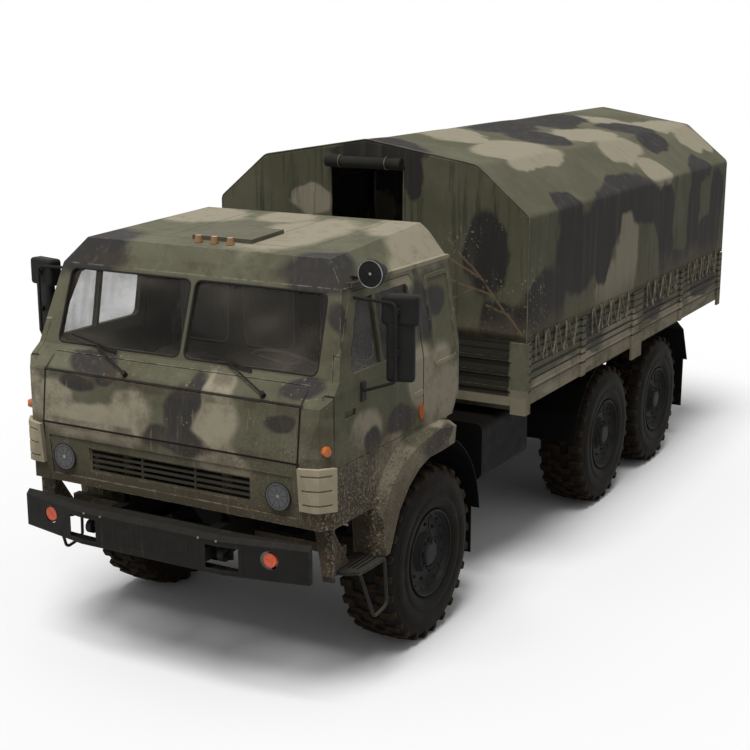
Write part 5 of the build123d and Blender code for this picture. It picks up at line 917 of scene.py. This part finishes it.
def endPanel(hole, plane, foot, waves):
    # a flat end panel as strips of quads, with an opening left out: the hole is (half across, low, high)
    half, low, high = hole
    edgeTop = coverTop(half)
    top = cover["half"] - 0.0015
    xs = sorted({-half, half} | {-top + (2 * top) * k / 48 for k in range(49)})
    xs = [x for x in xs if all(abs(x - edge) > 0.012 or x == edge for edge in (-half, half))]
    below = [(low - foot) / (edgeTop - foot)] if low > foot else []
    stops = [0.0] + below + [(high - foot) / (edgeTop - foot), 1.0]
    rows = sorted({a + (b - a) * k / 9 for a, b in zip(stops, stops[1:]) for k in range(10)})
    points, faces, index = [], [], {}

    def height(x, share):
        if abs(x) >= half:
            return foot + (coverTop(x) - foot) * share
        if share <= stops[-2]:
            return foot + (edgeTop - foot) * share
        return high + (coverTop(x) - high) * (share - stops[-2]) / (1.0 - stops[-2])

    def corner(x, share):
        z = height(x, share)
        ripple = noise.noise(Vector((x * 3.2, waves, z * 1.1))) * 0.0022
        edge = min(1.0, (cover["half"] - abs(x)) / 0.06)
        key = (round(x, 4), round(z, 4))
        if key not in index:
            index[key] = len(points)
            points.append((x, plane + ripple * max(0.0, edge), z))
        return index[key]

    for a, b in zip(xs, xs[1:]):
        for f, g in zip(rows, rows[1:]):
            if abs((a + b) / 2) < half and low < height((a + b) / 2, (f + g) / 2) < high:
                continue
            wall = [corner(a, f), corner(b, f), corner(b, g), corner(a, g)]
            if len(set(wall)) == 4:
                faces.append(tuple(wall))
    return points, faces


rolls = {"front": {"half": 0.325, "along": truck["bedFront"] - 0.0505, "high": 3.102, "outer": 0.0455,
                   "straps": (-0.20, 0.20), "strapRadius": 0.0475},
         "rear": {"half": 0.995, "along": truck["bedRear"] - 0.0640, "high": 2.950, "outer": 0.0465,
                  "straps": (-0.62, 0.0, 0.62), "strapRadius": 0.0480},
         "inner": 0.012, "turns": 4, "steps": 30, "columns": 34, "strapThick": 0.0035}


def rolledFlap(roll):
    # a flap rolled up round its lower edge, a little uneven along its length
    half, steps = roll["half"], rolls["turns"] * rolls["steps"]
    spiral = []
    for k in range(steps + 1):
        t = k / rolls["steps"]
        r = rolls["inner"] + (roll["outer"] - rolls["inner"]) * t / rolls["turns"]
        spiral.append((r * math.cos(2 * math.pi * t), r * math.sin(2 * math.pi * t)))
    points = []
    for c in range(rolls["columns"] + 1):
        x = -half + 2 * half * c / rolls["columns"]
        squeeze = 1 - 0.10 * math.exp(-((abs(x) - half * 0.62) / 0.035) ** 2)
        sway = noise.noise(Vector((x * 3.0, roll["high"], 1.0))) * 0.0035
        for y, z in spiral:
            points.append((x, roll["along"] + y * squeeze + sway * 0.5, roll["high"] + z * squeeze + sway))
    length = sum(math.dist(a, b) for a, b in zip(spiral, spiral[1:]))
    return (points, sheetFaces(rolls["columns"] + 1, len(spiral))), length


section = spaced(rounded([(x, 0, z) for x, z in coverOutline], cover["round"], False, 4), 0.055)
coverSheet = clothPiece("canvasCover", coverForm(section), "canvas", "chassis")
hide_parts("canvas_cover")
frontPanel = clothPiece("canvasFront", endPanel((0.31, 2.56, 3.05), truck["bedFront"] - 0.0005,
                                               cover["foot"] + cover["endGap"], 3.0), "frontCanvas", "chassis")
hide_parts("canvas_ends")
rearPanel = clothPiece("canvasRear", endPanel((1.0, 1.84, 2.90), truck["bedRear"] - 0.0045, 1.930, 8.0), "canvas",
                       "chassis")
frontRoll, frontLength = rolledFlap(rolls["front"])
frontFlap = clothPiece("canvasFlapRoll", frontRoll, "flap", "chassis", 0.003)
rearRoll, rearLength = rolledFlap(rolls["rear"])
rearCurtain = clothPiece("canvasCurtainRoll", rearRoll, "canvas", "chassis", 0.003)
edges = []
for along in (truck["bedFront"] - 0.0015, truck["bedRear"] + 0.0005):
    path = spaced(rounded([(x * 1.0005, along, z) for x, z in coverOutline], 0.03, False, 4), 0.08)
    edges.append(tube(path, 0.0048, 8))
window = ((-0.318, 2.552), (0.318, 2.552), (0.318, 3.058), (-0.318, 3.058))
edges.append(bead([(x, truck["bedFront"] - 0.0035, z) for x, z in window], 0.02, 0.06, 0.0045))
canvasEdge = piece("canvasPiping", joined(edges), "piping", "chassis")
straps = []
for roll in (rolls["front"], rolls["rear"]):
    for x in roll["straps"]:
        straps.append(tube([(x, roll["along"] + roll["strapRadius"] * math.cos(t),
                             roll["high"] + roll["strapRadius"] * math.sin(t)) for t in angles(28)],
                           rolls["strapThick"], 6, True))
flapStraps = piece("flapStraps", joined(straps), "rope", "chassis")
sum((b - a).length for a, b in zip(section, section[1:]))

# the area of the cover's section
nextCorners = coverOutline[1:] + coverOutline[:1]
fullEnd = abs(sum(a[0] * b[1] - b[0] * a[1] for a, b in zip(coverOutline, nextCorners))) / 2
fullEnd - 0.62 * 0.49
fullEnd - 2 * cover["half"] * 0.088 - 2.0 * 0.97
print("canvas made")

# ---- lacing between the cover's foot and the side boards: a rope V with a hook, two eyes and a strap beside it
lacing = {"bays": ((0.16, 0.98), (1.32, 2.20), (2.68, 3.56), (3.86, 4.82)), "ties": 4, "rope": 0.0058,
          "hook": 0.0040, "out": 1.3475, "high": 1.862, "size": 1.22, "sizeChange": 0.06, "seed": 3}
halfVee = [(0.008, 0.012, -0.150), (0.030, 0.012, -0.105), (0.058, 0.010, -0.030), (0.062, 0.003, 0.006)]
halfHook = [(0.010, 0.020, -0.154), (0.010, 0.018, -0.142), (0.010, 0.0, -0.140)]
vee, hook = ([(-x, y, z) for x, y, z in reversed(path)] + middle + path
             for path, middle in ((halfVee, []), (halfHook, [(0.0, 0.020, -0.160)])))
tie = joined([tube(rounded(vee, 0.012, False, 3), lacing["rope"], 6), tube(hook, lacing["hook"], 6),
              ring((-0.062, 0.004, 0.004), (0, 1, 0), 0.0105, 12, 0.0030, 6),
              ring((0.062, 0.004, 0.004), (0, 1, 0), 0.0105, 12, 0.0030, 6),
              bevelledBox((0.016, 0.005, 0.150), (0.092, 0.006, -0.068), 0.002, 1),
              bevelledBox((0.026, 0.010, 0.020), (0.092, 0.008, -0.148), 0.003, 1)])
spots = []
for side in (-1, 1):
    for low, high in lacing["bays"]:
        for k in range(lacing["ties"]):
            along = truck["bedFront"] + low + (high - low) * (k + 0.5) / lacing["ties"]
            spots.append((Vector((side * lacing["out"], along, lacing["high"])), (0, 0, -side * math.pi / 2)))
placed("canvasLacing", repeated(tie, spots, "rope", lacing["size"], lacing["sizeChange"], lacing["seed"]), "rope",
       "chassis")
print("lacing made")

# ---- seats: a blown-up cushion and back on each base
seat = {"places": (("Left", 0.59), ("Middle", -0.04), ("Right", -0.59)), "width": 0.470, "front": -2.822,
        "depth": 0.345, "base": 1.762, "cushion": 0.118, "backY": -2.405, "backHeight": 0.610, "backThick": 0.104,
        "corner": 0.045, "cuts": 9, "channels": (0.075, 0.160), "groove": 0.006, "pressure": 4.0, "cap": 0.011,
        "frames": 14, "trim": 0.0045}


def padForm(size):
    shape = bmesh.new()
    bmesh.ops.create_cube(shape, size=2.0)
    bmesh.ops.subdivide_edges(shape, edges=shape.edges, cuts=seat["cuts"], use_grid_fill=True)
    corner = seat["corner"]
    for v in shape.verts:
        full = Vector(a * b / 2 for a, b in zip(v.co, size))
        core = Vector(max(-(b / 2 - corner), min(b / 2 - corner, a)) for a, b in zip(full, size))
        out = full - core
        v.co = core + out.normalized() * min(out.length, corner) if out.length > 1e-6 else full
    data = bpy.data.meshes.new("padForm")
    shape.to_mesh(data)
    shape.free()
    return data


def blownPad(size):
    # cloth under slight pressure, each point moved by no more than the cap
    data = padForm(size)
    start = [v.co.copy() for v in data.vertices]
    form = linked("padForm", data)
    cloth = form.modifiers.new("Cloth", "CLOTH")
    cloth.settings.use_pressure = True
    cloth.settings.uniform_pressure_force = seat["pressure"]
    cloth.settings.effector_weights.gravity = 0.0
    cloth.settings.quality = 5
    for step in range(1, seat["frames"] + 1):
        bpy.context.scene.frame_set(step)
    grown = evaluated(form)
    form.modifiers.clear()
    for v, old, new in zip(data.vertices, start, grown.vertices):
        move = new.co - old
        v.co = old + move * min(1.0, seat["cap"] / max(move.length, 1e-9))
    bpy.context.scene.frame_set(1)
    finer = form.modifiers.new("finer", "SUBSURF")
    finer.levels = finer.render_levels = 2
    made = evaluated(form)
    bpy.data.objects.remove(form)
    lying = size[2] < size[1]
    for v in made.vertices:
        channel = max(math.exp(-((abs(v.co.x) - c) / seat["groove"]) ** 2) for c in seat["channels"])
        face = v.co.z if lying else -v.co.y
        if face > 0:
            shift = seat["groove"] * channel * min(1.0, face / 0.03)
            v.co -= Vector((0, 0, shift)) if lying else Vector((0, -shift, 0))
    return made


cushionMesh = blownPad((seat["width"] - 0.022, seat["depth"] + 0.07, seat["cushion"]))
backMesh = blownPad((seat["width"] - 0.022, seat["backThick"], seat["backHeight"] - 0.02))
bases = []
for name, across in seat["places"]:
    cushionAt = Vector((across, seat["front"] + 0.2275, seat["base"] + seat["cushion"] / 2 + 0.004))
    backAt = Vector((across, seat["backY"], seat["base"] + seat["cushion"] + seat["backHeight"] / 2))
    for label, source, at in (("seatCushion", cushionMesh, cushionAt), ("seatBack", backMesh, backAt)):
        data = source.copy()
        for v in data.vertices:
            v.co += at
        pad = placed(label + name, data, "vinyl", "cab")
    half, tall = seat["width"] / 2 - 0.030, seat["backHeight"] / 2 - 0.034
    rim = [backAt + Vector((x * half, -seat["backThick"] / 2 + 0.010, z * tall))
           for x, z in ((-1, -1), (1, -1), (1, 1), (-1, 1))]
    piece("seatTrim" + name, bead(rim, 0.075, 0.03, seat["trim"]), "seatTrim", "cab")
    bases.append(bevelledBox((0.350, 0.370, 0.250), (across, seat["front"] + 0.240, 1.6275), 0.018))
    bases.append(bevelledBox((0.060, 0.024, 0.150), (across, seat["backY"] + 0.050, 1.830), 0.006))
seatBases = piece("seatBases", joined(bases), "dash", "cab")
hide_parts("seats")
print("seats made")

# ---- lamps: rings, spokes and a small bright middle, which holds (radius, places along Y)
lamps = {"head": {"place": (0.841, -3.7055, 1.333), "radius": 0.0885, "spokes": 8, "turn": 0.2, "from": 0.016,
                  "to": 0.78, "wire": 0.0009, "middle": (0.012, (0.002, -0.002, -0.005))},
         "search": {"place": (1.215, -3.2300, 2.655), "radius": 0.083, "spokes": 12, "turn": 0.0, "from": 0.014,
                    "to": 0.94, "wire": 0.0013, "middle": (0.010, (0.002, -0.003, -0.007))}}
rings, bright = [], []
for kind, side in (("head", -1), ("head", 1), ("search", 1)):
    lamp = lamps[kind]
    (x, y, z), radius = lamp["place"], lamp["radius"]
    x *= side
    if kind == "head":
        rings += [ring((x, y + 0.001, z), (0, 1, 0), radius, 48, 0.0034),
                  ring((x, y + 0.0005, z), (0, 1, 0), radius * 0.80, 40, 0.0012, 6)]
    else:
        bright.append(ring((x, y + 0.0015, z), (0, 1, 0), radius, 48, 0.0040))
    for t in angles(lamp["spokes"]):
        t += lamp["turn"]
        rings.append(tube([(x + reach * math.cos(t), y, z + reach * math.sin(t))
                           for reach in (lamp["from"], radius * lamp["to"])], lamp["wire"], 5))
    size, places = lamp["middle"]
    bright.append(tube([(x, y + along, z) for along in places], size, 20, False, (1.0, 1.0, 0.5)))
piece("lampRings", joined(rings), "seal", "cab")
piece("lampBright", joined(bright), "chrome", "cab")

# ---- rubber seals round the windscreen's two panes
screen = {"side": 1.012, "divider": 0.018, "low": 2.059, "high": 2.535, "foot": (-3.523, 2.041),
          "top": (-3.346, 2.553), "tilt": 0.014, "proud": 0.004, "round": 0.052, "thick": 0.0075}


def screenY(high):
    (y0, z0), (y1, z1) = screen["foot"], screen["top"]
    return y0 + (y1 - y0) * (high - z0) / (z1 - z0)


seals = []
for side in (-1, 1):
    corners = [(side * screen["divider"], screen["low"]), (side * screen["divider"], screen["high"]),
               (side * (screen["side"] - screen["tilt"]), screen["high"]), (side * screen["side"], screen["low"])]
    seals.append(bead([(x, screenY(z) + screen["proud"], z) for x, z in corners], screen["round"], 0.08,
                      screen["thick"]))
piece("screenSeals", joined(seals), "seal", "cab")
print("lamps and seals made")

# ---- floor, backdrop and light
studio = {"floorHalf": 400.0, "fade": (9.0, 30.0), "shown": 0.965, "bounce": 0.26, "world": 0.33, "sun": 2.45,
          "sunWay": (-0.06, 0.38, -0.92), "sunSpread": 0.5}


def seenDirectly(tree, kinds):
    # 1 for rays of these kinds, which see the plain backdrop, and 0 for those that only carry light
    path = tree.nodes.new("ShaderNodeLightPath")
    return topmost([Wire(tree, path.outputs["Is " + kind + " Ray"]) for kind in kinds])


def floorLook():
    made = bpy.data.materials.new("paleFloor")
    made.use_nodes = True
    tree = made.node_tree
    tree.nodes.clear()
    at = Wire(tree).node("ShaderNodeTexCoord", out="Object")
    far = at.vector("LENGTH", out="Value").rise(*studio["fade"])
    plain = seenDirectly(tree, ("Camera", "Transmission", "Glossy"))
    tone = plain.tint(rgb(*[studio["bounce"]] * 3), rgb(*[studio["shown"]] * 3))
    ground = at.node("ShaderNodeBsdfDiffuse", None, {"Color": tone})
    glow = at.node("ShaderNodeEmission", None, {"Color": rgb(1, 1, 1), "Strength": 1.0})
    mixed = at.node("ShaderNodeMixShader", None, {0: far * seenDirectly(tree, ("Camera",)), 1: ground, 2: glow})
    output = tree.nodes.new("ShaderNodeOutputMaterial")
    tree.links.new(mixed.socket, output.inputs["Surface"])
    return made


half = studio["floorHalf"]
floorMesh = bpy.data.meshes.new("studioFloor")
corners = [(-half, -half, 0), (half, -half, 0), (half, half, 0), (-half, half, 0)]
floorMesh.from_pydata(corners, [], [(0, 1, 2, 3)])
floor = linked("studioFloor", floorMesh)
floor.data.materials.append(floorLook())

world = bpy.data.worlds.new("studioWorld")
bpy.context.scene.world = world
world.use_nodes = True
world.node_tree.nodes.clear()
seen = seenDirectly(world.node_tree, ("Camera", "Glossy", "Transmission"))
glow = seen.node("ShaderNodeBackground", None, {"Color": rgb(1, 1, 1), "Strength": seen * (1 - studio["world"])
                                                + studio["world"]})
worldOut = world.node_tree.nodes.new("ShaderNodeOutputWorld")
world.node_tree.links.new(glow.socket, worldOut.inputs["Surface"])

sun = linked("softSun", bpy.data.lights.new("softSun", "SUN"))
sun.data.energy = studio["sun"]
sun.data.angle = studio["sunSpread"]
sun.rotation_euler = Vector(studio["sunWay"]).to_track_quat("-Z", "Y").to_euler()
print("light and floor set")
